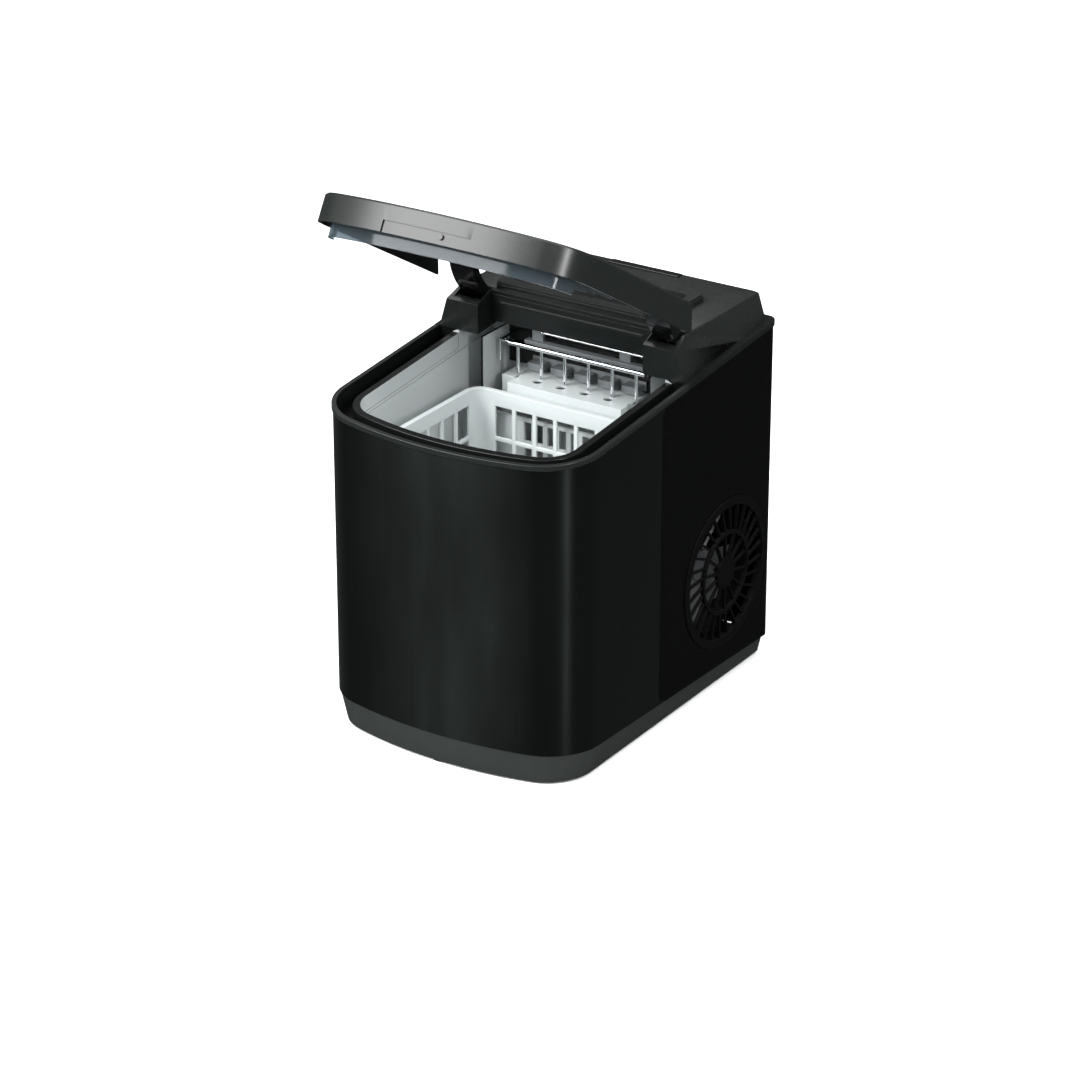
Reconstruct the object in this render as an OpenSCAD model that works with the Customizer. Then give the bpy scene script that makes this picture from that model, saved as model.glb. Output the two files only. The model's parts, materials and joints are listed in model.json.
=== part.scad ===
// Countertop ice maker: black wrapped body, sloping top deck, rear hood and a
// tilting lid on curved hinge arms. Millimetres, +Z up, front of the body towards -Y.

/* [Body] */
// Width of the body across its flat sides
body_w = 230; // [215:1:250]
// Depth of the body, front apex to back panel
body_d = 311; // [300:1:335]
// Height of the wrap's top edge at the front apex
wrap_top = 258.2; // [250:0.1:290]
// Radius of the bowed front
bow_r = 326; // [260:1:500]
// Radius of the two front corners
corner_r = 46.5; // [35:0.5:60]
// Radius of the two rear corners
rear_r = 8; // [4:0.5:14]
// Thickness of the outer steel skins
skin_t = 1.0; // [0.6:0.1:1.6]
// Distance from the front apex to the seam between wrap and rear shell
seam_from_front = 142; // [120:1:160]
// Radius of the rear shell's leading corners
seam_r = 10; // [4:0.5:16]

/* [Base] */
// Height of the base pan at the front
base_h = 27.5; // [22:0.5:34]
// Fall of the base pan's top edge towards the back, in degrees
base_fall = 1.9; // [0:0.1:3]
// Inset of the base pan's bottom edge
base_inset = 6; // [2:0.5:10]
// Wall thickness of the base pan
pan_t = 2.4; // [1.8:0.1:3.5]
// Clearance between the base pan's floor and the worktop
pan_gap = 2.0; // [1:0.5:5]
// Radius of a rubber foot
foot_r = 9; // [6:0.5:12]

/* [Deck] */
// Rise of the deck towards the back, in degrees
deck_rise = 4.63; // [0:0.01:7]
// Height of the rim above the wrap's edge
rim_h = 4.3; // [3:0.1:8]
// Overhang of the rim past the wrap
rim_out = 1.0; // [0.4:0.1:2.5]
// Width of the rim's raised band
rim_band = 4.0; // [3:0.1:6]
// Inset of the opening from the body's outline
mouth_inset = 21; // [19:0.5:26]
// Width of the flat lip round the opening
mouth_lip = 6.0; // [4:0.1:8]
// Depth of the groove that takes the window's skirt
groove_depth = 12; // [10:0.5:16]
// Distance from the front apex to the back edge of the opening
mouth_back = 226; // [224:1:236]

/* [Hood] */
// Distance from the front apex to the hood's front face
hood_front = 177; // [172:1:182]
// Height of the hood's top above the worktop
hood_top = 308; // [304:1:316]
// Inset of the hood's foot from the body's side
hood_foot_inset = 3; // [2:0.5:5]
// Inset of the hood's top from the body's side
hood_top_inset = 13; // [9:0.5:15]
// Half the width of the recess between the two posts
recess_half = 75; // [68:0.5:75]
// Wall thickness of the hood
hood_t = 2.6; // [2:0.1:3.5]
// Height of the raised control console
console_h = 5.5; // [3:0.5:8]
// Half the width of the control console
console_half = 76; // [70:1:90]
// Depth of the control console
console_d = 70; // [60:1:80]

/* [Lid] */
// Overhang of the lid past each side of the body
lid_overhang = 0.9; // [0:0.1:1.5]
// Length of the lid, rear edge to front apex
lid_len = 200.5; // [190:0.5:210]
// Height of the lid's skirt
lid_h = 21.8; // [18:0.1:26]
// Thickness of the lid's shell
lid_t = 2.6; // [2:0.1:3.5]
// Radius of the lid's front corners
lid_corner_r = 37; // [28:0.5:50]
// Slope of the lid when it is shut, in degrees
lid_shut_slope = 8; // [6:0.5:10]
// Opening angle of the lid, in degrees
lid_open = 38.18; // [20:0.01:45]
// Radius of the curved hinge arm's middle line
arm_r = 56; // [54:0.5:58]
// Thickness of the hinge arm
arm_t = 8; // [6:0.5:9]
// Width of each hinge arm
arm_w = 21; // [16:0.5:21]

/* [Ice chamber] */
// Number of freezing fingers
finger_n = 6; // [4:1:7]
// Distance between neighbouring fingers
finger_pitch = 21.7; // [16:0.1:22]
// Radius of a finger
finger_r = 1.4; // [1:0.1:2.5]
// Length of the fingers
finger_len = 24; // [18:0.5:26]
// Half the width of the tilting water tray
tray_half = 52; // [46:0.5:54]
// Depth of the water tray, front to back
tray_d = 38; // [34:0.5:40]
// Height of the water tray
tray_h = 14; // [10:0.5:18]
// Radius of the drain holes in the tray's cover
tray_hole_r = 4; // [2:0.1:5]
// Height of the basket's rim above the worktop
basket_top = 236; // [225:1:238]
// Half the width of the ice basket
basket_half = 77; // [66:0.5:80]
// Height of the ice basket
basket_h = 105; // [80:1:115]
// Wall thickness of the basket
basket_t = 2.2; // [1.8:0.1:3]
// Wall thickness of the tank
tank_t = 2.4; // [1.8:0.1:3]
// Height of the tank's floor above the worktop
tank_floor = 80; // [76:1:95]
// Height of the weir between the tank and the tray's well
weir_z = 214; // [205:1:216]
// Height of the floor of the well under the tray
well_floor = 172; // [165:1:180]

/* [Machinery] */
// Radius of the side fan grille
grille_r = 62; // [56:0.5:64]
// Height of the fan's axis
fan_z = 98; // [94:0.5:104]
// Distance from the front apex to the fan's axis
fan_from_front = 239; // [232:0.5:244]
// Radius of the fan rotor
fan_r = 48; // [40:1:50]
// Radius of the compressor's shell
comp_r = 44; // [38:0.5:46]
// Radius of the copper tubes
tube_r = 3; // [2:0.1:4]
// Radius of the fan motor's shaft
shaft_r = 2.5; // [2:0.1:4]

/* [Fits] */
// Gap between parts that only lie next to each other
gap = 0.4; // [0.2:0.1:0.8]
// Radial clearance of a turning shaft in its hole
run_fit = 0.06; // [0.02:0.01:0.1]
// Clearance round the hinge arms
arm_gap = 0.5; // [0.3:0.1:1]

/* [Hidden] */
$fn = 48;

eps = 0.01;
far = 1200;
lid_w = body_w + 2 * lid_overhang;
hood_foot_half = body_w / 2 - hood_foot_inset;
hood_top_half = body_w / 2 - hood_top_inset;

// ---- the lid's motion: it turns about an axis above the hood, on curved arms ----
hinge_from_front = hood_front + 53.6;
hinge_z = hood_top + 40.5;
shut_from_front = hood_front + 17.5;
shut_z = hood_top + 4.4;

// Turns a point of the side view, measured from the hinge axis, by the opening angle
function opened(p) = [p[0] * cos(lid_open) + p[1] * sin(lid_open),
                      p[1] * cos(lid_open) - p[0] * sin(lid_open)];
// Side-view place, measured from the front apex, of a point of the shut lid
function shut_place(s, h) = [shut_from_front - s * cos(lid_shut_slope) - h * sin(lid_shut_slope),
                             shut_z - s * sin(lid_shut_slope) + h * cos(lid_shut_slope)];
function open_place(s, h) = [hinge_from_front, hinge_z]
    + opened(shut_place(s, h) - [hinge_from_front, hinge_z]);

// The opened lid reaches past the body's front, and the origin is centred on the whole
lid_reach = -open_place(lid_len, -lid_h)[0];
front_y = lid_reach - (body_d + lid_reach) / 2;
rear_y = front_y + body_d;
lid_tilt = lid_open - lid_shut_slope;

hood_y = front_y + hood_front;
hinge_y = front_y + hinge_from_front;
seam_y = front_y + seam_from_front;
mouth_y = front_y + mouth_back;
fan_y = front_y + fan_from_front;
// where the side panels meet the back panel
panel_back_y = rear_y - rear_r - 3;
// height of the step left at the groove's floor where rim and lip stand on the plate
groove_step = 0.4;

// ---- outlines ----
// Height, above the front apex, of the centre of a front corner's circle
function corner_y(w, bow, cr) = bow - sqrt(pow(bow - cr, 2) - pow(w / 2 - cr, 2));

// Points of an arc, from its step k0 to its step n - k1, at n steps for the whole arc
function arc(cx, cy, r, a0, a1, n, k0 = 0, k1 = 0) =
    [for (k = [k0:n - k1]) let (a = a0 + (a1 - a0) * k / n) [cx + r * cos(a), cy + r * sin(a)]];

// Bowed front, two rounded front corners and a straight back; the apex is at y = 0.
// The whole outline is drawn i millimetres inside itself.
function bowed_points(w, d, bow, cr, rr, i) =
    let (xc = w / 2 - cr,
         yc = corner_y(w, bow, cr),
         ta = atan2(yc - bow, xc),
         rc = max(rr - i, 0.3),
         xr = w / 2 - i - rc,
         yr = d - i - rc)
    concat(arc(0, bow, bow - i, -180 - ta, ta, 28),
           arc(xc, yc, cr - i, ta, 0, 22, 1),
           arc(xr, yr, rc, 0, 90, 6),
           arc(-xr, yr, rc, 90, 180, 6),
           arc(-xc, yc, cr - i, -180, -180 - ta, 22, 0, 1));

module bowed(w, d, bow, cr, rr, i) {
    polygon(bowed_points(w, d, bow, cr, rr, i));
}

module body_outline(inset) {
    translate([0, front_y]) bowed(body_w, body_d, bow_r, corner_r, rear_r, inset);
}

module body_prism(inset, z0, z1) {
    translate([0, 0, z0]) linear_extrude(z1 - z0) body_outline(inset);
}

// Everything above the sloping deck plane, raised by dz
module above_deck(dz) {
    translate([0, front_y, wrap_top + dz]) rotate([deck_rise, 0, 0])
        translate([-far / 2, -far / 2, 0]) cube([far, far, far / 2]);
}

// Everything below the base pan's falling edge, raised by dz
module below_seat(dz) {
    translate([0, front_y, base_h + dz]) rotate([-base_fall, 0, 0])
        translate([-far / 2, -far / 2, -far / 2]) cube([far, far, far / 2]);
}

function deck_z(y) = wrap_top + tan(deck_rise) * (y - front_y);

function seat_z(y) = base_h - tan(base_fall) * (y - front_y);

// A slab between two levels of the deck plane
module deck_slab(inset, dz0, dz1) {
    difference() {
        body_prism(inset, wrap_top + dz0 - 2, hood_top);
        above_deck(dz1);
        difference() {
            body_prism(inset - 2, wrap_top + dz0 - 3, hood_top + 1);
            above_deck(dz0);
        }
    }
}

module rounded_rect(w, d, r) {
    for (sx = [-1, 1], sy = [-1, 1])
        translate([sx * (w / 2 - r), sy * (d / 2 - r)]) circle(r);
    square([w - 2 * r, d], center = true);
    square([w, d - 2 * r], center = true);
}

// A box given by its corners
module block(lo, hi) {
    translate(lo) cube(hi - lo);
}

// A cylinder along X, starting at x
module rod_x(x, y, z, r, len) {
    translate([x, y, z]) rotate([0, 90, 0]) cylinder(r = r, h = len);
}

module rod_y(x, y, z, r, len) {
    translate([x, y, z]) rotate([-90, 0, 0]) cylinder(r = r, h = len);
}

module rod_z(x, y, z, r, len) {
    translate([x, y, z]) cylinder(r = r, h = len);
}

// ---- base ----
foot_x = body_w / 2 - 38;
foot_front = front_y + 34;
foot_back = rear_y - 30;
foot_places = [[-foot_x, foot_front], [foot_x, foot_front], [-foot_x, foot_back], [foot_x, foot_back]];
pan_floor = pan_gap + pan_t;
drain_y = front_y + 15.5;
drain_up_y = front_y + 40;
drain_bore_r = 4.5;
drain_bend_z = pan_floor + 22;

module pan_hull(inset, z0) {
    hull() {
        body_prism(base_inset + inset, z0, z0 + 0.2);
        body_prism(inset + 0.6, base_h - 0.2, base_h);
    }
}

module base_pan() {
    color("#2b2f2e") difference() {
        intersection() {
            pan_hull(0, pan_gap);
            below_seat(0);
        }
        pan_hull(pan_t, pan_floor);
        for (p = foot_places) rod_z(p[0], p[1], pan_gap - 1, foot_r + gap, 1.8);
        for (p = foot_places) rod_z(p[0], p[1], pan_gap - 1, 2.2, 10);
        rod_z(0, drain_y, pan_gap - 1, drain_bore_r, 10);
    }
}

module feet() {
    color("#151515") for (p = foot_places) {
        rod_z(p[0], p[1], 0, foot_r, pan_gap + 0.8);
        rod_z(p[0], p[1], pan_gap, 2.2 - gap / 2, 4);
    }
}

drain_cap_r = 8.5;
drain_cap_z = 0.3;

// Bayonet plug under the front edge, with a coin slot
module drain_cap() {
    color("#3a3d3c") difference() {
        union() {
            rod_z(0, drain_y, drain_cap_z, drain_cap_r, pan_gap - gap - drain_cap_z);
            rod_z(0, drain_y, drain_cap_z, drain_bore_r - gap, 11);
        }
        block([-6, drain_y - 1.1, drain_cap_z - 1], [6, drain_y + 1.1, drain_cap_z + 0.8]);
    }
}

module drain_tube() {
    r = drain_bore_r + 1.8;
    elbow_r = r + 0.4;
    cross_r = drain_bore_r - 0.6;
    color("#d8dcda") difference() {
        union() {
            rod_z(0, drain_y, pan_floor + 0.02, r, drain_bend_z - pan_floor);
            translate([0, drain_y, drain_bend_z]) sphere(elbow_r);
            rod_y(0, drain_y, drain_bend_z, r, drain_up_y - drain_y);
            translate([0, drain_up_y, drain_bend_z]) sphere(elbow_r);
            rod_z(0, drain_up_y, drain_bend_z, r, tank_floor - tank_t - 0.02 - drain_bend_z);
        }
        rod_z(0, drain_y, pan_floor - 1, drain_bore_r, drain_bend_z - pan_floor + 3);
        rod_y(0, drain_y - 1, drain_bend_z, cross_r, drain_up_y - drain_y + 2);
        rod_z(0, drain_up_y, drain_bend_z - 2, drain_bore_r, 90);
    }
}

// ---- outer shells ----
// Side view of the rear shell, grown by a clearance; its two leading corners are rounded
module shell_side_profile(grow) {
    yc = seam_y + seam_r;
    top_z = deck_z(yc) - seam_r / cos(deck_rise);
    bottom_z = seat_z(yc) + seam_r / cos(base_fall);
    top = arc(yc, top_z, seam_r + grow, 90 + deck_rise, 180, 8);
    bottom = arc(yc, bottom_z, seam_r + grow, 180, 270 - base_fall, 8);
    polygon(concat([[top[0][0], far / 3]], top, bottom,
                   [[bottom[8][0], -50], [rear_y + 20, -50], [rear_y + 20, far / 3]]));
}

module shell_side_solid(grow) {
    rotate([90, 0, 90]) translate([0, 0, -body_w]) linear_extrude(2 * body_w) shell_side_profile(grow);
}

module front_wrap() {
    color("#101211") difference() {
        body_prism(0, 0, deck_z(rear_y));
        body_prism(skin_t, -1, deck_z(rear_y) + 1);
        above_deck(0);
        below_seat(0);
        shell_side_solid(gap);
    }
    color("#101211") difference() {
        intersection() {
            body_prism(skin_t, 0, deck_z(rear_y));
            block([-body_w, seam_y - 8, 0], [body_w, seam_y + 24, far]);
        }
        body_prism(skin_t + 0.8, -1, deck_z(rear_y) + 1);
        above_deck(-gap);
        below_seat(gap);
        block([-body_w, seam_y - 9, 0], [body_w, seam_y + 25, base_h + 1]);
    }
}

vent_w = 150;
vent_h = 78;
vent_z = 150;
gland_x = 70;
gland_z = 48;
gland_r = 8;
cord_r = 3.8;
intake_w = 92;
intake_h = 84;

// The steel skin round the back, before it is parted into its three panels
module shell_skin() {
    difference() {
        intersection() {
            difference() {
                body_prism(0, 0, deck_z(rear_y));
                body_prism(skin_t, -1, deck_z(rear_y) + 1);
            }
            shell_side_solid(0);
        }
        above_deck(0);
        below_seat(0);
        rod_x(body_w / 2 - 5, fan_y, fan_z, grille_r - 3, 10);
        block([-body_w / 2 - 5, fan_y - intake_w / 2 + 3, fan_z - intake_h / 2 + 3],
              [-body_w / 2 + 5, fan_y + intake_w / 2 - 3, fan_z + intake_h / 2 - 3]);
        block([-vent_w / 2 + 3, rear_y - 5, vent_z - vent_h / 2 + 3],
              [vent_w / 2 - 3, rear_y + 5, vent_z + vent_h / 2 - 3]);
        rod_y(gland_x, rear_y - 5, gland_z, gland_r + gap / 2, 10);
        for (p = shell_screw_places) rod_y(p[0], rear_y - 5, p[1], 1.9, 10);
    }
}

module side_panel_left() {
    color("#0d0e0e") intersection() {
        shell_skin();
        block([-far / 2, -far / 2, -50], [0, panel_back_y, far / 2]);
    }
}

module side_panel_right() {
    color("#0d0e0e") intersection() {
        shell_skin();
        block([0, -far / 2, -50], [far / 2, panel_back_y, far / 2]);
    }
}

module rear_shell() {
    color("#0d0e0e") intersection() {
        shell_skin();
        block([-far / 2, panel_back_y, -50], [far / 2, far / 2, far / 2]);
    }
}

grille_depth = 3;
vane_n = 28;
mid_ring_r = 33;
hub_ring_r = 13;

module ring_x(x, r_out, r_in, len) {
    difference() {
        rod_x(x, fan_y, fan_z, r_out, len);
        rod_x(x - 1, fan_y, fan_z, r_in, len + 2);
    }
}

module fan_grille() {
    x0 = body_w / 2 + rim_out - grille_depth;
    color("#0b0b0b") {
        difference() {
            ring_x(body_w / 2 + 0.02, grille_r, grille_r - 6, rim_out - 0.02);
        }
        ring_x(x0 - 2, grille_r - 3.4, grille_r - 7, grille_depth + 2);
        ring_x(x0, mid_ring_r + 1.6, mid_ring_r - 1.6, grille_depth);
        rod_x(x0, fan_y, fan_z, hub_ring_r, grille_depth);
        for (k = [0:vane_n - 1])
            translate([x0, fan_y, fan_z]) rotate([360 * k / vane_n, 0, 0])
                translate([0, -0.9, mid_ring_r]) rotate([16, 0, 0])
                    cube([grille_depth - 0.6, 1.8, grille_r - mid_ring_r - 4]);
        for (k = [0:vane_n / 2 - 1])
            translate([x0, fan_y, fan_z]) rotate([720 * k / vane_n, 0, 0])
                translate([0, -0.9, hub_ring_r - 1]) cube([grille_depth - 0.6, 1.8, mid_ring_r - hub_ring_r]);
    }
}

module intake_grille() {
    slot_n = 9;
    pitch = (intake_h - 10) / slot_n;
    xo = -body_w / 2 - rim_out;
    color("#0d0e0e") difference() {
        union() {
            block([xo, fan_y - intake_w / 2, fan_z - intake_h / 2],
                  [-body_w / 2 - 0.02, fan_y + intake_w / 2, fan_z + intake_h / 2]);
            block([-body_w / 2 - 0.5, fan_y - intake_w / 2 + 3.4, fan_z - intake_h / 2 + 3.4],
                  [-body_w / 2 + 2.5, fan_y + intake_w / 2 - 3.4, fan_z + intake_h / 2 - 3.4]);
        }
        for (k = [0:slot_n - 1])
            block([xo - 1, fan_y - intake_w / 2 + 8, fan_z - intake_h / 2 + 5 + pitch * (k + 0.25)],
                  [xo + 10, fan_y + intake_w / 2 - 8, fan_z - intake_h / 2 + 5 + pitch * (k + 0.8)]);
    }
}

module rear_vent() {
    slot_n = 8;
    pitch = (vent_h - 12) / slot_n;
    color("#0d0e0e") difference() {
        union() {
            block([-vent_w / 2 + 3.4, rear_y - 2.6, vent_z - vent_h / 2 + 3.4],
                  [vent_w / 2 - 3.4, rear_y, vent_z + vent_h / 2 - 3.4]);
            block([-vent_w / 2, rear_y - skin_t - 2, vent_z - vent_h / 2],
                  [vent_w / 2, rear_y - skin_t - 0.05, vent_z + vent_h / 2]);
        }
        for (k = [0:slot_n - 1], c = [-1, 1])
            block([c * vent_w / 4 - vent_w / 4 + 10, rear_y - 8, vent_z - vent_h / 2 + 6 + pitch * (k + 0.25)],
                  [c * vent_w / 4 + vent_w / 4 - 10, rear_y + 5, vent_z - vent_h / 2 + 6 + pitch * (k + 0.8)]);
    }
}

// Bush that a power cord passes through, held by its flange inside the back panel
module cord_gland() {
    color("#1a1a1a") difference() {
        union() {
            rod_y(gland_x, rear_y - 14, gland_z, gland_r, 14);
            rod_y(gland_x, rear_y - skin_t - 3, gland_z, gland_r + 4, 2.95);
        }
        rod_y(gland_x, rear_y - 15, gland_z, cord_r, 20);
    }
}

shell_screw_places = [for (sx = [-1, 1], z = [42, 230]) [sx * (body_w / 2 - 16), z]];

module shell_screws() {
    color("#6b6e70") for (p = shell_screw_places) {
        rod_y(p[0], rear_y - 12, p[1], 1.8, 12 - skin_t);
        rod_y(p[0], rear_y - skin_t - 4, p[1], 3.4, 2.6);
    }
}

// ---- deck and tank ----
groove_in = mouth_inset - mouth_lip;

module mouth_prism(inset, z0, z1) {
    // The opening: the body's outline inset, closed by a straight back edge
    difference() {
        body_prism(inset, z0, z1);
        block([-body_w, mouth_y - (inset - mouth_inset), z0 - 1], [body_w, rear_y + 50, z1 + 1]);
    }
}

module front_of_posts(z0, z1, clear) {
    block([-body_w, front_y - 50, z0], [body_w, hood_y - clear, z1]);
}

// The deck moulding, before it is parted into plate, rim and inner lip
module deck_body() {
    difference() {
        union() {
            deck_slab(-rim_out, 0.05, rim_h);
            deck_slab(skin_t + 0.8 + gap, -groove_depth - 2, 0.1);
        }
        // groove for the window's skirt
        intersection() {
            difference() {
                body_prism(rim_band - rim_out, wrap_top - 40, hood_top);
                mouth_prism(groove_in, wrap_top - 41, hood_top + 1);
            }
            above_deck(-groove_depth);
            front_of_posts(0, far, -2);
        }
        // the lip round the opening lies lower than the rim
        intersection() {
            body_prism(rim_band - rim_out, wrap_top - 40, hood_top);
            above_deck(1.0);
            front_of_posts(0, far, -2);
        }
        mouth_prism(mouth_inset, wrap_top - 60, hood_top);
        // hollow under the hood, for the machinery's wiring
        block([-body_w / 2 + 12, mouth_y + 6, 200], [body_w / 2 - 12, rear_y - 10, deck_z(mouth_y) - 3]);
        for (p = deck_screw_places) rod_z(p[0], p[1], 200, 1.9, 100);
    }
}

// Everything above the groove's floor and in front of the posts
module above_groove() {
    intersection() {
        children();
        above_deck(groove_step - groove_depth);
        front_of_posts(0, far, -1);
    }
}

module rim_region() {
    above_groove() difference() {
        body_prism(-rim_out - 6, wrap_top - 40, hood_top);
        body_prism(rim_band - rim_out + 1, wrap_top - 41, hood_top + 1);
    }
}

module lip_region() {
    above_groove() mouth_prism(groove_in - 1, wrap_top - 40, hood_top);
}

module top_deck() {
    color("#202423") difference() {
        deck_body();
        rim_region();
        lip_region();
    }
}

module top_rim() {
    color("#202423") intersection() {
        deck_body();
        rim_region();
    }
}

module inner_lip() {
    color("#202423") intersection() {
        deck_body();
        lip_region();
    }
}

deck_screw_places = [for (sx = [-1, 1], y = [mouth_y + 14, rear_y - 20]) [sx * (body_w / 2 - 22), y]];

tank_back = front_y + 182;
well_seam_y = tank_back + tank_t + 0.6;
basket_back = hood_y - 1.5;
basket_front = front_y + mouth_inset + 14;
basket_len = basket_back - basket_front;
basket_mid = (basket_back + basket_front) / 2;

// Inside of the tank, in front of the weir
module tank_space(grow) {
    difference() {
        mouth_prism(mouth_inset - grow, tank_floor - grow, far / 2);
        block([-body_w, tank_back + grow, -1], [body_w, rear_y + 50, far]);
    }
}

// Inside of the well that the water tray tips into, behind the weir
module well_space(grow) {
    difference() {
        mouth_prism(mouth_inset - grow, well_floor - grow, far / 2);
        block([-body_w, front_y - 50, -1], [body_w, tank_back + tank_t - grow, far]);
    }
}

weir_slot_n = 7;
weir_slot_pitch = 10.7;
weir_slot_w = 6.5;
rest_x = basket_half - 13;
rest_y = basket_len / 2 - 18;
rest_half = 4;

// The tank and the well behind it, before they are parted
module liner_body() {
    difference() {
        union() {
            difference() {
                union() {
                    tank_space(tank_t);
                    well_space(tank_t);
                }
                tank_space(0);
                well_space(0);
                mouth_prism(mouth_inset, weir_z, far);
            }
            // four pads that the basket stands on
            for (sx = [-1, 1], sy = [-1, 1])
                translate([sx * rest_x, basket_mid + sy * rest_y, 0])
                    block([-rest_half, -rest_half, tank_floor - 0.5], [rest_half, rest_half, basket_top - basket_h - gap]);
        }
        above_deck(-groove_depth - 2 - gap);
        rod_z(0, drain_up_y, tank_floor - 10, drain_bore_r, 20);
        rod_z(strainer_x, strainer_y, tank_floor - 10, 8 + gap, 20);
        // slots that let the tipped water run back into the tank
        for (k = [0:weir_slot_n - 1], row = [[well_floor + 8, 10], [well_floor + 23, 16]])
            block([(k - (weir_slot_n - 1) / 2) * weir_slot_pitch - weir_slot_w / 2, tank_back - 1, row[0]],
                  [(k - (weir_slot_n - 1) / 2) * weir_slot_pitch + weir_slot_w / 2, tank_back + tank_t + 1, row[0] + row[1]]);
    }
}

module tank_liner() {
    color("#dfe3e2") intersection() {
        liner_body();
        block([-far / 2, -far / 2, -50], [far / 2, well_seam_y, far / 2]);
    }
}

module well_trough() {
    color("#dfe3e2") intersection() {
        liner_body();
        block([-far / 2, well_seam_y, -50], [far / 2, far / 2, far / 2]);
    }
}

strainer_x = 52;
strainer_y = front_y + 120;

module sump_strainer() {
    color("#b9bfc0") difference() {
        union() {
            rod_z(strainer_x, strainer_y, tank_floor + 0.02, 13, 2);
            rod_z(strainer_x, strainer_y, tank_floor - 8, 8, 9);
        }
        for (k = [0:5]) rotate_about(strainer_x, strainer_y, 60 * k)
            rod_z(5, 0, tank_floor - 9, 1.4, 14);
    }
}

module rotate_about(x, y, a) {
    translate([x, y, 0]) rotate([0, 0, a]) children();
}

module tank_foam() {
    color("#e9e6dc") difference() {
        mouth_prism(6, tank_floor - 30, wrap_top - groove_depth - 4);
        tank_space(tank_t + gap);
        block([-body_w, tank_back + tank_t + gap, 0], [body_w, rear_y, far]);
        rod_z(0, drain_up_y, 20, drain_bore_r + 1.8 + gap, 120);
        block([strainer_x - 22, strainer_y - 26, 0], [strainer_x + 22, rear_y, tank_floor - tank_t - gap]);
    }
}

// ---- ice basket ----
basket_r = 14;

module basket_outline(inset) {
    rounded_rect(2 * (basket_half - inset), basket_len - 2 * inset, basket_r - inset);
}

basket_slot_w = 15.5;
basket_slot_pitch = 19;
basket_slot_n = 6;
basket_row_n = 3;
basket_rib = 3.5;
basket_band = 9;

module ice_basket() {
    z0 = basket_top - basket_h;
    row_h = (basket_h - 2 * basket_band) / basket_row_n;
    reach = basket_half + basket_len;
    color("#eceeed") difference() {
        translate([0, basket_mid, z0]) union() {
            linear_extrude(basket_h) basket_outline(2.4);
            translate([0, 0, basket_h - 3]) linear_extrude(3) basket_outline(0);
        }
        translate([0, basket_mid, z0 + basket_t]) linear_extrude(basket_h) basket_outline(2.4 + basket_t);
        for (row = [0:basket_row_n - 1], k = [0:basket_slot_n - 1]) {
            at = (k - (basket_slot_n - 1) / 2) * basket_slot_pitch;
            zs = z0 + basket_band + row * row_h;
            block([-reach, basket_mid + at - basket_slot_w / 2, zs],
                  [reach, basket_mid + at + basket_slot_w / 2, zs + row_h - basket_rib]);
            block([at - basket_slot_w / 2, basket_mid - reach, zs],
                  [at + basket_slot_w / 2, basket_mid + reach, zs + row_h - basket_rib]);
        }
        for (i = [-3:3], j = [-3:3])
            block([17 * i - 5, basket_mid + 16 * j - 5, z0 - 1], [17 * i + 5, basket_mid + 16 * j + 5, z0 + 5]);
    }
}

// ---- hood ----
hood_back = rear_y - 1.5;
chamfer_z = hood_top - 7;
chamfer_y = hood_y + 16;

function half_at(z) = hood_top_half + (hood_foot_half - hood_top_half) * (hood_top - z) / (hood_top - deck_z(hood_y) - rim_h);

module hood_hull(inset) {
    zf0 = deck_z(hood_y) + rim_h;
    zf1 = deck_z(hood_back) + rim_h;
    hf = hood_foot_half - inset;
    ht = hood_top_half - inset;
    zt = hood_top - inset;
    yf = hood_y + inset;
    yb = hood_back - inset;
    rr = 7;
    hull() {
        for (sx = [-1, 1]) {
            translate([sx * (hf - 0.5), yf, zf0 - 4]) block([-0.5, 0, 0], [0.5, 0.5, 1]);
            translate([sx * (half_at(chamfer_z) - inset - 0.5), yf, chamfer_z - 0.4 * inset])
                block([-0.5, 0, -1], [0.5, 0.5, 0]);
            translate([sx * (ht - 0.5), chamfer_y, zt]) block([-0.5, 0, -0.5], [0.5, 0.5, 0]);
            translate([sx * (hf - rr), yb - rr, zf1 - 14]) cylinder(r = rr, h = 1, $fn = 32);
            translate([sx * (ht - rr), yb - rr, zt - 3]) cylinder(r = rr, h = 1, $fn = 32);
            translate([sx * (ht - rr), yb - rr - 3, zt - 0.5]) cylinder(r = rr - 1, h = 0.5, $fn = 32);
        }
    }
}

post_cheek = 1.6;
arm_x0 = recess_half + post_cheek + arm_gap + 0.1;

// Band of an arc about the hinge axis, between two angles below the forward direction
module arc_band(r0, r1, a0, a1, x0, x1) {
    n = 16;
    translate([x0, hinge_y, hinge_z]) rotate([90, 0, 90]) linear_extrude(x1 - x0)
        difference() {
            intersection() {
                circle(r1, $fn = 96);
                polygon(concat([[0, 0]], [for (k = [0:n]) let (a = 180 + a0 + (a1 - a0) * k / n)
                    [1.3 * r1 * cos(a), 1.3 * r1 * sin(a)]]));
            }
            circle(r0, $fn = 96);
        }
}

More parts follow.
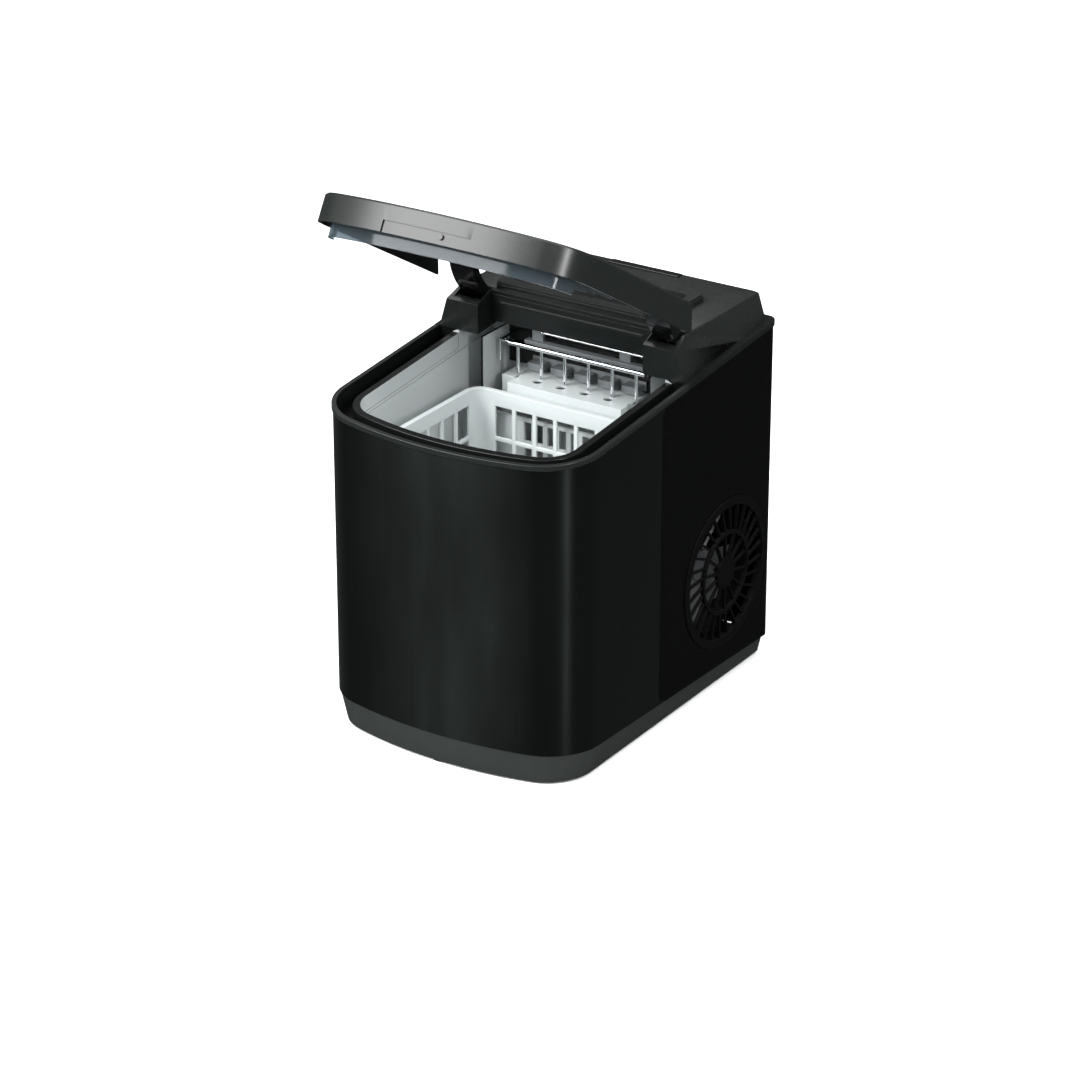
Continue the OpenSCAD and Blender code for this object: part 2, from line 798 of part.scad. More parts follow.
module rear_hood() {
    fascia_y = hood_y + 19;
    color("#232726") difference() {
        hood_hull(0);
        difference() {
            hood_hull(hood_t);
            // the two posts keep their inner cheeks
            for (sx = [-1, 1])
                block([sx * (recess_half + post_cheek / 2) - post_cheek / 2, hood_y - 1, 200],
                      [sx * (recess_half + post_cheek / 2) + post_cheek / 2, hood_y + 26, far]);
        }
        body_prism(-20, 100, deck_z(front_y));
        deck_cut_below(rim_h + 0.05);
        // recess between the posts
        block([-recess_half, hood_y - 5, 200], [recess_half, fascia_y, far]);
        // notches over the posts, where the arms come up
        for (sx = [-1, 1])
            block([sx * (arm_x0 + arm_w / 2) - arm_w / 2 - 1.5, hood_y + 4, hood_top - 5.5],
                  [sx * (arm_x0 + arm_w / 2) + arm_w / 2 + 1.5, hood_y + 24, far]);
        for (sx = [-1, 1])
            arc_band(arm_r - arm_t / 2 - arm_gap, arm_r + arm_t / 2 + arm_gap, -10, 60,
                     sx * (arm_x0 + arm_w / 2) - arm_w / 2 - arm_gap, sx * (arm_x0 + arm_w / 2) + arm_w / 2 + arm_gap);
        // opening under the console for the control board
        block([-54, hood_y + 34, hood_top - 10], [54, hood_y + 80, hood_top + 5]);
        // seat of the dark strip at the rear edge
        block([-strip_half - gap, hood_back - 12, hood_top - 1.2], [strip_half + gap, hood_back - 4, far]);
    }
}

module deck_cut_below(dz) {
    translate([0, front_y, wrap_top + dz]) rotate([deck_rise, 0, 0])
        translate([-far / 2, -far / 2, -far / 2]) cube([far, far, far / 2]);
}

strip_half = 32;

module rear_strip() {
    color("#050505") block([-strip_half, hood_back - 11.6, hood_top - 1.15], [strip_half, hood_back - 4.4, hood_top + 0.8]);
}

fascia_front = hood_y + 19;

module hood_fascia() {
    color("#3d4241") {
        block([-recess_half + gap, fascia_front + 0.1, deck_z(hood_y) + 10],
              [recess_half - gap, fascia_front + 2.1, hood_top - hood_t - gap]);
        block([-recess_half + 8, fascia_front - 0.7, hood_top - 10], [recess_half - 12, fascia_front + 0.15, hood_top - 8.2]);
    }
}

console_y0 = hood_y + 22.5;
panel_z = hood_top + console_h;
button_places = [-34, 34];
button_y = console_y0 + console_d / 2;

module console_outline(inset) {
    translate([0, console_y0 + console_d / 2]) rounded_rect(2 * console_half - 2 * inset, console_d - 2 * inset, 8 - inset);
}

module control_console() {
    color("#232726") difference() {
        translate([0, 0, hood_top + 0.05]) union() {
            linear_extrude(console_h - 1.5) console_outline(0);
            linear_extrude(console_h) console_outline(1.2);
        }
        translate([0, 0, hood_top - 1]) linear_extrude(console_h - 1) console_outline(8);
        translate([0, 0, panel_z - 1]) linear_extrude(3) translate([0, button_y]) rounded_rect(132, 46, 5);
        for (x = button_places) rod_z(x, button_y, hood_top, 7 + gap, 20);
        for (k = [-2:2]) rod_z(10 * k, button_y + 15, hood_top, 1.8, 20);
    }
}

module control_panel() {
    color("#070808") difference() {
        translate([0, 0, panel_z - 0.95]) linear_extrude(1.2) translate([0, button_y]) rounded_rect(131.2, 45.2, 4.6);
        for (x = button_places) rod_z(x, button_y, hood_top, 7 + gap, 20);
        for (k = [-2:2]) rod_z(10 * k, button_y + 15, hood_top, 1.8, 20);
    }
}

button_travel = 1.2;
board_t = 1.6;
switch_h = 1.0;

module push_button(x) {
    rod_z(x, button_y, panel_z - 4, 7, 5.8);
    stem_z = board_z + board_t + switch_h + button_travel + gap;
    rod_z(x, button_y, stem_z, 2.5, panel_z - 3 - stem_z);
}

module power_button() {
    color("#8b8f90") push_button(button_places[0]);
}

module select_button() {
    color("#8b8f90") push_button(button_places[1]);
}

module indicator_lenses() {
    color("#7fc6e8") for (k = [-2:2]) rod_z(10 * k, button_y + 15, panel_z - 3.4, 1.8 - run_fit, 3.8);
}

board_z = hood_top - 9;

module control_board() {
    color("#1f5a3a") block([-64, hood_y + 32, board_z], [64, hood_y + 84, board_z + board_t]);
    color("#c9cdcf") for (sx = [-1, 1], y = [36, 80])
        rod_z(sx * 60, hood_y + y, board_z + 1.55, 2.5, hood_top - hood_t - 0.02 - board_z - 1.55);
    color("#222222") for (x = button_places)
        rod_z(x, button_y, board_z + board_t - eps, 3.2, switch_h);
    color("#222222") for (k = [-1, 0, 1]) block([16 * k - 5, hood_y + 62, board_z + 1.55], [16 * k + 5, hood_y + 74, board_z + 4]);
}

guide_t = 2;
guide_cheek = 1.5;

module hinge_guide(sx) {
    x0 = sx * (arm_x0 + arm_w / 2) - arm_w / 2 - arm_gap;
    x1 = x0 + arm_w + 2 * arm_gap;
    r0 = arm_r - arm_t / 2 - arm_gap;
    r1 = arm_r + arm_t / 2 + arm_gap;
    color("#303433") difference() {
        union() {
            arc_band(r0 - guide_t, r1 + guide_t, 67, 113, x0 - guide_cheek, x1 + guide_cheek);
            difference() {
                block([x0 - guide_cheek, hinge_y - 14, deck_z(hinge_y) - 5], [x1 + guide_cheek, hinge_y + 10, hinge_z - r1]);
                deck_cut_below(rim_h + 0.05);
            }
        }
        arc_band(r0, r1, 50, 140, x0, x1);
    }
}

module hinge_guide_left() {
    hinge_guide(-1);
}

module hinge_guide_right() {
    hinge_guide(1);
}

// ---- lid ----
// Places the lid's own frame: origin on the rear top edge, -Y towards its front, +Z out of its top
module lid_frame_place() {
    translate([0, hinge_y, hinge_z]) rotate([-lid_open, 0, 0]) translate([0, -hinge_y, -hinge_z])
        translate([0, front_y + shut_from_front, shut_z]) rotate([lid_shut_slope, 0, 0]) children();
}

module lid_prism(inset, z0, z1, back) {
    translate([0, -lid_len, z0]) linear_extrude(z1 - z0)
        bowed(lid_w, lid_len + back + inset, bow_r, lid_corner_r, 0.3, inset);
}

// Everything behind the lid's slanting rear face, moved back by dy
module behind_lid(dy) {
    translate([0, dy, 0]) rotate([lid_tilt, 0, 0]) translate([-far / 2, 0, -far / 2]) cube([far, far, far]);
}

window_inset = 22;
window_back = 34;

module window_prism(inset, z0, z1) {
    difference() {
        lid_prism(window_inset + inset, z0, z1, 0);
        block([-far, -window_back - inset, z0 - 1], [far, far, z1 + 1]);
    }
}

scoop_half = 38;
scoop_h = 9;
scoop_depth = 1.2;
knob_x = 14;
knob_r = 2.2;

module lid_frame() {
    color("#262b2a") lid_frame_place() difference() {
        union() {
            lid_prism(0, -lid_h, -1.6, 16);
            hull() {
                lid_prism(0, -1.65, -1.6, 0);
                lid_prism(1.4, -0.1, 0, 0);
            }
        }
        lid_prism(lid_t, -lid_h - 1, -lid_t - 0.4, 30);
        behind_lid(0);
        window_prism(0, -10, 10);
        window_prism(-3, -1.9, 10);
        for (sx = [-1, 1], y = arm_screw_y)
            rod_z(sx * (arm_x0 + arm_w / 2), y, -5, 1.6, 3.4);
        // finger scoop along the lower front edge
        intersection() {
            difference() {
                lid_prism(-2, -lid_h - 1, -lid_h + scoop_h, 0);
                lid_prism(scoop_depth, -lid_h - 2, -lid_h + scoop_h + 1, 0);
            }
            block([-scoop_half, -far / 2, -60], [scoop_half, -lid_len / 2, 10]);
        }
    }
}

module lid_window() {
    color("#8fa6b4", 0.4) lid_frame_place() window_prism(-3 + gap, -1.85, -0.2);
}

skirt_inset = 10.5;

module window_skirt() {
    color("#b7cad6", 0.5) lid_frame_place() difference() {
        union() {
            difference() {
                lid_prism(lid_t + gap, -13.5, -11.5, 0);
                block([-far, -24, -20], [far, far, 20]);
            }
            difference() {
                lid_prism(skirt_inset, -31, -11.6, 0);
                lid_prism(skirt_inset + 2, -32, -10, 0);
                block([-far, -lid_len + 46, -40], [far, far, 20]);
            }
        }
    }
}

module lid_knob() {
    color("#0a0a0a") lid_frame_place() {
        sag = bow_r - sqrt(pow(bow_r, 2) - pow(knob_x - knob_r, 2));
        translate([knob_x, -lid_len + scoop_depth + sag, -lid_h + 5.5]) rotate([90, 0, 0]) cylinder(r = knob_r, h = 1.4);
    }
}

arm_screw_y = [-9, -22];
arm_plate_z = -3.05;

module hinge_arms() {
    pad_half = arm_w / 2 - 1;
    color("#1b1e1d") for (sx = [-1, 1]) {
        xm = sx * (arm_x0 + arm_w / 2);
        difference() {
            arc_band(arm_r - arm_t / 2, arm_r + arm_t / 2, 4, 78, xm - arm_w / 2, xm + arm_w / 2);
            lid_frame_place() block([-far, -far / 2, arm_plate_z - 1.2], [far, far, 60]);
            // room for the screws' heads
            lid_frame_place() for (y = arm_screw_y) {
                rod_z(xm, y, -16, 3.3, 9.6);
                rod_z(xm, y, -7, 1.7, 8);
            }
        }
        lid_frame_place() difference() {
            block([xm - pad_half, -34, -6.4], [xm + pad_half, -1, arm_plate_z]);
            for (y = arm_screw_y) rod_z(xm, y, -8, 1.7, 8);
        }
    }
}

module arm_screws() {
    color("#8a8d8f") lid_frame_place() for (sx = [-1, 1], y = arm_screw_y) {
        rod_z(sx * (arm_x0 + arm_w / 2), y, -6.5, 1.55, 4.6);
        rod_z(sx * (arm_x0 + arm_w / 2), y, -8, 3, 1.55);
    }
}

// ---- ice chamber ----
finger_y = hood_y + 25.3;
bar_z = 265;
finger_x = [for (k = [0:finger_n - 1]) (k - (finger_n - 1) / 2) * finger_pitch];
chamber_half = body_w / 2 - mouth_inset;

bar_r = 2.3;
bar_half = finger_x[finger_n - 1] + 8;
stub_r = 1.4;
stub_x = -recess_half + 4;

module evaporator() {
    color("#d5d7d8") {
        rod_x(-bar_half, finger_y, bar_z, bar_r, 2 * bar_half);
        for (x = finger_x) rod_z(x, finger_y, bar_z - finger_len, finger_r, finger_len);
        rod_x(stub_x, finger_y, bar_z + 0.6, stub_r, -bar_half - stub_x + 1);
        rod_x(stub_x, finger_y + 6, bar_z - 1, stub_r, -bar_half - stub_x + 12);
        rod_y(stub_x, finger_y, bar_z + 0.6, stub_r, mouth_y - 4.5 - finger_y);
        translate([stub_x, finger_y, bar_z + 0.6]) sphere(stub_r);
        rod_z(stub_x, finger_y, bar_z - finger_len + 8, 0.9, finger_len - 7);
    }
}

block_t = 6.5;

module evaporator_block() {
    y0 = finger_y + bar_r + 0.15;
    color("#80868a") {
        block([-bar_half + 12, y0, bar_z - 3], [bar_half, y0 + block_t, bar_z + 4]);
        for (sx = [-1, 1])
            block([sx * 40 - 5, y0 + 3.3, bar_z + 3.9], [sx * 40 + 5, y0 + block_t, chamber_top - 0.05]);
    }
}

module probe_rod() {
    color("#e6e7e8") {
        rod_x(-34, finger_y + 4, bar_z + 12.5, 1.1, recess_half + 34);
        translate([-34, finger_y + 4, bar_z + 12.5]) sphere(1.7);
    }
}

chamber_top = deck_z(hood_y) + 12;
chamber_wall = 2;

// Dark lining of the ice chamber: back, roof and two cheeks
module chamber_lining() {
    xo = recess_half + 2.6;
    color("#26292a") difference() {
        union() {
            block([-xo, mouth_y - 4, tray_top + 0.6], [xo, mouth_y - gap, deck_z(hood_y) - 0.5]);
            block([-recess_half + 4, mouth_y - 4, tray_top + 1], [recess_half - 4, mouth_y - gap, chamber_top + 2]);
            block([-recess_half + gap, fascia_front + 6, chamber_top], [recess_half - gap, mouth_y - 3, chamber_top + 2]);
            for (sx = [-1, 1])
                block([sx * (xo - chamber_wall / 2) - chamber_wall / 2, tank_back + tank_t + gap, weir_z + 4],
                      [sx * (xo - chamber_wall / 2) + chamber_wall / 2, mouth_y - 3, deck_z(hood_y) - 0.5]);
        }
        for (x = sensor_x) rod_y(x, mouth_y - 6, sensor_z, 2.4, 10);
        rod_x(0, tray_axis_y, tray_axis_z, tray_shaft_r + gap, body_w);
        block([0, tray_axis_y - 3.5, weir_z], [body_w, tray_axis_y + 3.5, tray_axis_z]);
    }
}

sensor_x = [-4, 18, 25, 44];
sensor_z = bar_z + 11;

module sensor_lenses() {
    color("#7d8587") for (x = sensor_x) {
        rod_y(x, mouth_y - 6.5, sensor_z, 2.4 - run_fit, 6);
        rod_y(x, mouth_y - 8, sensor_z, 1.6, 2);
    }
}

tray_axis_y = mouth_y - 9;
tray_y0 = tray_axis_y - tray_d + 4.5;
tray_top = bar_z - finger_len - 0.8;
tray_axis_z = tray_top - tray_h / 2;
tray_shaft_r = 3;
bearing_w = 12;
bearing_x = tray_half + 2;
motor_x0 = recess_half + 4;

// Pedestals on the well's floor that carry the tray's shaft
module tray_bearings() {
    color("#c9cdcd") for (sx = [-1, 1]) difference() {
        block([sx * (bearing_x + bearing_w / 2) - bearing_w / 2, tray_axis_y - 20, well_floor + 0.02],
              [sx * (bearing_x + bearing_w / 2) + bearing_w / 2, tray_axis_y + 5.5, tray_top - 1]);
        rod_x(-body_w, tray_axis_y, tray_axis_z, tray_shaft_r + run_fit, 2 * body_w);
    }
}

module water_tray() {
    rt = tray_h / 2;
    color("#e8ebea") difference() {
        union() {
            block([-tray_half, tray_y0, tray_top - tray_h], [tray_half, tray_axis_y, tray_top]);
            rod_x(-tray_half, tray_axis_y, tray_axis_z, rt - 0.01, 2 * tray_half);
            rod_x(-bearing_x - bearing_w - 2, tray_axis_y, tray_axis_z, tray_shaft_r, bearing_x + bearing_w + 2 + motor_x0 + 6);
        }
        block([-tray_half + 1.8, tray_y0 + 1.8, tray_top - tray_h + 1.8], [tray_half - 1.8, tray_axis_y - 8, tray_top - 1.6]);
        for (x = finger_x) rod_z(x, finger_y - 5.8, tray_top - 4, tray_hole_r, 10);
    }
}

module tray_motor() {
    color("#3c4042") difference() {
        block([motor_x0, tray_axis_y - 14, well_floor + 0.02], [body_w / 2 - mouth_inset - 1, tray_axis_y + 6, tray_top + 3]);
        rod_x(motor_x0 - 1, tray_axis_y, tray_axis_z, tray_shaft_r + run_fit, 9);
    }
}

shovel_travel = 12;
shovel_t = 1.8;
shovel_z = tray_top + 2.4;
shovel_h = 8;
tooth_len = 11;

// Comb whose teeth pass between the fingers and push the ice forward
module ice_shovel() {
    y1 = mouth_y - 4 - gap;
    tooth_w = finger_pitch - 2 * finger_r - 5;
    color("#aab0b2") {
        block([-tray_half, y1 - shovel_t, shovel_z], [tray_half, y1, shovel_z + shovel_h]);
        for (k = [0:finger_n - 2])
            block([finger_x[k] + finger_pitch / 2 - tooth_w / 2, y1 - shovel_t - tooth_len, shovel_z],
                  [finger_x[k] + finger_pitch / 2 + tooth_w / 2, y1 - shovel_t + 0.1, shovel_z + shovel_h - 2]);
    }
}

// ---- water path ----
pump_z = tank_floor - 12;

hose_r = 5.5;
outlet_r = 4;
outlet_z = tank_floor - 24;

module water_pump() {
    color("#2a2d2e") {
        rod_z(strainer_x, strainer_y, tank_floor - 36, 17, 26);
        rod_z(strainer_x, strainer_y, tank_floor - 62, 12, 27);
        rod_y(strainer_x, strainer_y + 10, outlet_z, outlet_r, 18);
    }
}

module water_hose() {
    hy = tank_back + 12;
    color("#dfe5e6") difference() {
        union() {
            rod_y(strainer_x, strainer_y + 18, outlet_z, hose_r, hy - strainer_y - 18);
            translate([strainer_x, hy, outlet_z]) sphere(hose_r);
            rod_z(strainer_x, hy, outlet_z, hose_r, well_floor - tank_t - 0.05 - outlet_z);
        }
        rod_y(strainer_x, strainer_y + 17, outlet_z, outlet_r + run_fit, 12);
    }
}

// ---- machinery ----
plate_z = pan_floor + 3;

module machine_plate() {
    color("#9aa0a2") difference() {
        block([-body_w / 2 + 14, front_y + 176, plate_z], [body_w / 2 - 14, rear_y - 14, plate_z + 1.2]);
        for (p = mount_places) rod_z(p[0], p[1], plate_z - 1, 4.2, 4);
        for (p = foot_places) rod_z(p[0], p[1], plate_z - 1, 4.2, 4);
    }
    color("#9aa0a2") for (sx = [-1, 1])
        block([sx * 60 - 8, front_y + 190, pan_floor + 0.02], [sx * 60 + 8, rear_y - 30, plate_z + 0.1]);
}

comp_x = -46;
comp_y = front_y + 242;
comp_z = plate_z + 14;
comp_h = 118;
mount_places = [for (a = [90, 210, 330]) [comp_x + (comp_r + 3) * cos(a), comp_y + (comp_r + 3) * sin(a)]];

module compressor() {
    color("#17181a") difference() {
        union() {
            rod_z(comp_x, comp_y, comp_z + 10, comp_r, comp_h - 40);
            translate([comp_x, comp_y, comp_z + comp_h - 30]) cylinder(r1 = comp_r, r2 = comp_r - 9, h = 14);
            translate([comp_x, comp_y, comp_z + comp_h - 16]) cylinder(r1 = comp_r - 9, r2 = comp_r - 24, h = 7);
            translate([comp_x, comp_y, comp_z]) cylinder(r1 = comp_r - 10, r2 = comp_r, h = 10);
            for (p = mount_places) rod_z(p[0], p[1], comp_z - 0.02, 9, 3);
            rod_z(comp_x, comp_y, comp_z - 0.02, comp_r - 2, 3);
            rod_x(comp_x + comp_r - 6, comp_y, comp_z + 60, 5, 12);
        }
        for (p = mount_places) rod_z(p[0], p[1], comp_z - 5, 3.2, 12);
    }
}

module compressor_mounts() {
    color("#2f3030") for (p = mount_places) {
        rod_z(p[0], p[1], plate_z + 1.25, 7, comp_z - plate_z - 1.3);
        rod_z(p[0], p[1], plate_z + 1.2, 3.1, comp_z - plate_z + 5);
    }
}

cond_x0 = body_w / 2 - 85;
cond_x1 = body_w / 2 - 61;
fin_n = 20;
cond_y0 = fan_y - 36;
cond_y1 = fan_y + 46;
cond_z0 = plate_z + 8;
cond_h = 120;
cond_rows = 5;

function cond_row_z(k) = cond_z0 + 14 + k * (cond_h - 28) / (cond_rows - 1);

module condenser_fins() {
    pitch = (cond_y1 - cond_y0 - 2) / (fin_n - 1);
    color("#b4b8ba") difference() {
        union() {
            for (k = [0:fin_n - 1])
                block([cond_x0, cond_y0 + pitch * k, cond_z0], [cond_x1, cond_y0 + pitch * k + 1.2, cond_z0 + cond_h]);
            block([cond_x0, cond_y0, plate_z + 1.25], [cond_x1, cond_y0 + 1.2, cond_z0 + 1]);
            block([cond_x0, cond_y1 - 2.0, plate_z + 1.25], [cond_x1, cond_y1 - 0.8, cond_z0 + 1]);
        }
        for (k = [0:cond_rows - 1])
            rod_y((cond_x0 + cond_x1) / 2, cond_y0 - 5, cond_row_z(k), tube_r + run_fit, cond_y1 - cond_y0 + 10);
    }
}

module condenser_tube() {
    xm = (cond_x0 + cond_x1) / 2;
    step = cond_row_z(1) - cond_row_z(0);
    color("#b9703e") {
        for (k = [0:cond_rows - 1]) rod_y(xm, cond_y0 - 3, cond_row_z(k), tube_r, cond_y1 - cond_y0 + 4);
        for (k = [0:cond_rows - 2])
            translate([xm, k % 2 == 0 ? cond_y1 + 1 : cond_y0 - 3, cond_row_z(k) + step / 2])
                rotate([0, 90, 0]) rotate([0, 0, k % 2 == 0 ? 90 : -90])
                    half_bend(step / 2, tube_r);
    }
}

// A half-circle tube bend in the XY plane, on the side towards +X after placing
module half_bend(bend_r, r) {
    rotate([0, 0, -90]) rotate_extrude(angle = 180) translate([bend_r, 0]) circle(r);
}

fan_x = body_w / 2 - 35;
motor_x = body_w / 2 - 55;

module fan_motor() {
    color("#4a4d50") {
        rod_x(motor_x, fan_y, fan_z, 15, 12);
        rod_x(motor_x + 11, fan_y, fan_z, shaft_r, 20);
    }
}

module fan_bracket() {
    color("#9aa0a2") difference() {
        union() {
            block([motor_x + 2, fan_y - 54, fan_z - 5], [motor_x + 4, fan_y + 58, fan_z + 5]);
            block([motor_x + 2, fan_y - 54, plate_z + 1.25], [motor_x + 4, fan_y - 48, fan_z + 5]);
            block([motor_x + 2, fan_y + 52, plate_z + 1.25], [motor_x + 4, fan_y + 58, fan_z + 5]);
            rod_x(motor_x + 2, fan_y, fan_z, 20, 2);
        }
        rod_x(motor_x - 1, fan_y, fan_z, 15.05, 10);
    }
}

blade_n = 7;

module fan_rotor() {
    color("#34383a") difference() {
        union() {
            rod_x(fan_x, fan_y, fan_z, 13, 14);
            for (k = [0:blade_n - 1])
                translate([fan_x + 7, fan_y, fan_z]) rotate([360 * k / blade_n, 0, 0])
                    translate([0, 0, 10]) rotate([0, 0, 32]) translate([-1, -13, 0]) cube([2, 26, fan_r - 13]);
        }
        rod_x(fan_x - 1, fan_y, fan_z, shaft_r + run_fit, 13);
    }
}

module suction_line() {
    x0 = comp_x + comp_r + 6.5;
    y0 = rear_y - 22;
    z0 = comp_z + 60;
    color("#b9703e") {
        rod_x(x0, comp_y, z0, tube_r, 10);
        translate([x0 + 10, comp_y, z0]) sphere(tube_r);
        rod_z(x0 + 10, comp_y, z0, tube_r, 226 - z0);
        translate([x0 + 10, comp_y, 226]) sphere(tube_r);
        rod_y(x0 + 10, mouth_y + 4, 226, tube_r, comp_y - mouth_y - 4);
    }
}

module filter_drier() {
    x = -body_w / 2 + 16;
    y = comp_y - 48;
    color("#b9703e") {
        translate([x, y, plate_z + 1.25]) cylinder(r1 = 2.5, r2 = 7, h = 8);
        rod_z(x, y, plate_z + 9.2, 7, 50);
        translate([x, y, plate_z + 59.1]) cylinder(r1 = 7, r2 = 2, h = 10);
        rod_z(x, y, plate_z + 69, 1.6, 40);
    }
}

shroud_r = fan_r + 2.5;
shroud_t = 1.8;

// Ring round the fan that leads its air to the side grille
module fan_shroud() {
    color("#1c1e1f") difference() {
        union() {
            ring_x(fan_x - 6, shroud_r + shroud_t, shroud_r, body_w / 2 - skin_t - 6 - gap - fan_x + 4);
            for (sx = [-1, 1])
                block([fan_x - 6, fan_y + sx * 30 - 6, plate_z + 1.25], [fan_x - 3, fan_y + sx * 30 + 6, fan_z - 40]);
        }
        rod_x(fan_x - 8, fan_y, fan_z, shroud_r, 12);
    }
}

module power_board() {
    z0 = 186;
    color("#1f5a3a") block([-70, rear_y - 12, z0 + 20], [60, rear_y - 10.4, z0 + 66]);
    color("#28292b") {
        block([-60, rear_y - 30, z0 + 28], [-30, rear_y - 11.9, z0 + 54]);
        for (k = [0:2]) rod_y(-8 + 18 * k, rear_y - 26, z0 + 46, 6, 14.1);
    }
}

base_pan();
feet();
drain_cap();
front_wrap();
rear_shell();
side_panel_left();
side_panel_right();
fan_grille();
intake_grille();
rear_vent();
cord_gland();
shell_screws();
top_deck();
top_rim();
inner_lip();
tank_liner();
well_trough();
tank_foam();
sump_strainer();
drain_tube();
ice_basket();
rear_hood();
hood_fascia();
control_console();
control_panel();
power_button();
select_button();
indicator_lenses();
control_board();
rear_strip();
hinge_guide_left();
hinge_guide_right();
lid_frame();
lid_window();
window_skirt();
lid_knob();
hinge_arms();
arm_screws();
evaporator();
evaporator_block();
probe_rod();
chamber_lining();
sensor_lenses();
tray_bearings();
water_tray();
tray_motor();
ice_shovel();
water_pump();
water_hose();
compressor();
compressor_mounts();
condenser_fins();
condenser_tube();
fan_motor();
fan_bracket();
fan_rotor();
fan_shroud();
suction_line();
filter_drier();
power_board();
machine_plate();
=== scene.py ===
import json
import logging
import math
from dataclasses import dataclass, field
from enum import Enum
from typing import Iterable, Optional

import bmesh
import bpy
from mathutils import Matrix, Vector


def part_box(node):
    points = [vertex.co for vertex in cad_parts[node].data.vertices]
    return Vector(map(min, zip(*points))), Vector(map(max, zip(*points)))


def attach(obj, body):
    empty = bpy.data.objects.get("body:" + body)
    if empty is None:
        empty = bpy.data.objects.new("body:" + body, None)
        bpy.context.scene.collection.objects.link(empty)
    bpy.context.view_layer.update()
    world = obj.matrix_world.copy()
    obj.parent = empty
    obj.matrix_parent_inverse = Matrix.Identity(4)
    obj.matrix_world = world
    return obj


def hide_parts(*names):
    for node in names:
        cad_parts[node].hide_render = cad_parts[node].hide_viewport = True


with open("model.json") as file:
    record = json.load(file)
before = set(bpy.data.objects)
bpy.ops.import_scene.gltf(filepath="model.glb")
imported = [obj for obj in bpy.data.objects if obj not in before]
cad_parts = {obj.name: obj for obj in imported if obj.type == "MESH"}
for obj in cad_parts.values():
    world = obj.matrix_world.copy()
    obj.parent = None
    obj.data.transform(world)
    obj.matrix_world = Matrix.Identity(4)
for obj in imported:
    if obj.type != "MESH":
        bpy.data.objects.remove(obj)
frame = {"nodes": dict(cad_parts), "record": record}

logging.basicConfig(level=logging.INFO, format="%(message)s")
log = logging.getLogger("ice_maker")

MM = 0.001
WELD = 2e-6  # vertices closer than this are one, in metres
SPIN_WELD = 1e-6  # the same in a spun solid
SEAM_WELD = 5e-6  # the same where two panels join
FLAT_ANGLE = 0.5  # triangles within this many degrees are one flat face
SHAPE_ANGLE = 50.0  # how many degrees a joined face may be out of square
CREASE = 30.0  # edges sharper than this many degrees stay crisp
RING_CREASE = 60.0  # the same on thin round wires
WIRE_SIDES = 10  # faces round a thin wire
UPRIGHT = 0.4  # a face whose normal rises less than this stands upright
DUST_COLOUR = (0.62, 0.61, 0.58, 1)
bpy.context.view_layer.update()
BODY_OF = {n: b for b, ns in frame["record"]["behaviour"]["bodies"].items() for n in ns}


class Marks(Enum):
    """The way a surface's fine marks run."""

    NONE = "none"
    GRAIN = "grain"
    BRUSHED = "brushed"


# ---------------------------------------------------------------- shader groups


def new_group(name: str, inputs: Iterable[tuple],
              outputs: Iterable[tuple]) -> bpy.types.NodeTree:
    """Starts a shader node group with named sockets.

    Args:
        name: The group's name.
        inputs: (name, socket type, default) of each input.
        outputs: (name, socket type) of each output.

    Returns:
        The empty group with its input and output nodes.
    """
    tree = bpy.data.node_groups.new(name, "ShaderNodeTree")
    for label, kind, default in inputs:
        sock = tree.interface.new_socket(name=label, in_out="INPUT", socket_type=kind)
        sock.default_value = default
    for label, kind in outputs:
        tree.interface.new_socket(name=label, in_out="OUTPUT", socket_type=kind)
    tree.nodes.new("NodeGroupInput")
    tree.nodes.new("NodeGroupOutput")
    return tree


def maths(tree: bpy.types.NodeTree, op: str, a: object, b: object = 0.0) -> bpy.types.NodeSocket:
    """Adds one Math node and links or sets its two inputs.

    Args:
        tree: The tree to add to.
        op: The Math node's operation.
        a: A socket or a number.
        b: A socket or a number.

    Returns:
        The node's result.
    """
    node = tree.nodes.new("ShaderNodeMath")
    node.operation = op
    for k, x in enumerate((a, b)):
        if isinstance(x, bpy.types.NodeSocket):
            tree.links.new(x, node.inputs[k])
        else:
            node.inputs[k].default_value = x
    return node.outputs[0]


def noise(tree: bpy.types.NodeTree, scale: object, stretch: tuple,
          detail: float) -> bpy.types.NodeSocket:
    """Adds noise on Object coordinates.

    Args:
        tree: The tree to add to.
        scale: The noise's scale, a socket or a number.
        stretch: How much finer the noise is along X, Y and Z.
        detail: The number of octaves.

    Returns:
        The noise's value, about 0.5 in the middle.
    """
    coord = tree.nodes.new("ShaderNodeTexCoord")
    place = tree.nodes.new("ShaderNodeMapping")
    place.inputs["Scale"].default_value = stretch
    cloud = tree.nodes.new("ShaderNodeTexNoise")
    cloud.inputs["Detail"].default_value = detail
    tree.links.new(coord.outputs["Object"], place.inputs["Vector"])
    tree.links.new(place.outputs["Vector"], cloud.inputs["Vector"])
    if isinstance(scale, bpy.types.NodeSocket):
        tree.links.new(scale, cloud.inputs["Scale"])
    else:
        cloud.inputs["Scale"].default_value = scale
    return cloud.outputs["Fac"]


def tint(tree: bpy.types.NodeTree, colour: bpy.types.NodeSocket,
         factor: bpy.types.NodeSocket) -> bpy.types.NodeSocket:
    """Multiplies a colour by a grey factor.

    Args:
        tree: The tree to add to.
        colour: The colour to change.
        factor: The factor, 1 for no change.

    Returns:
        The changed colour.
    """
    node = tree.nodes.new("ShaderNodeVectorMath")
    node.operation = "SCALE"
    tree.links.new(colour, node.inputs[0])
    tree.links.new(factor, node.inputs["Scale"])
    return node.outputs[0]


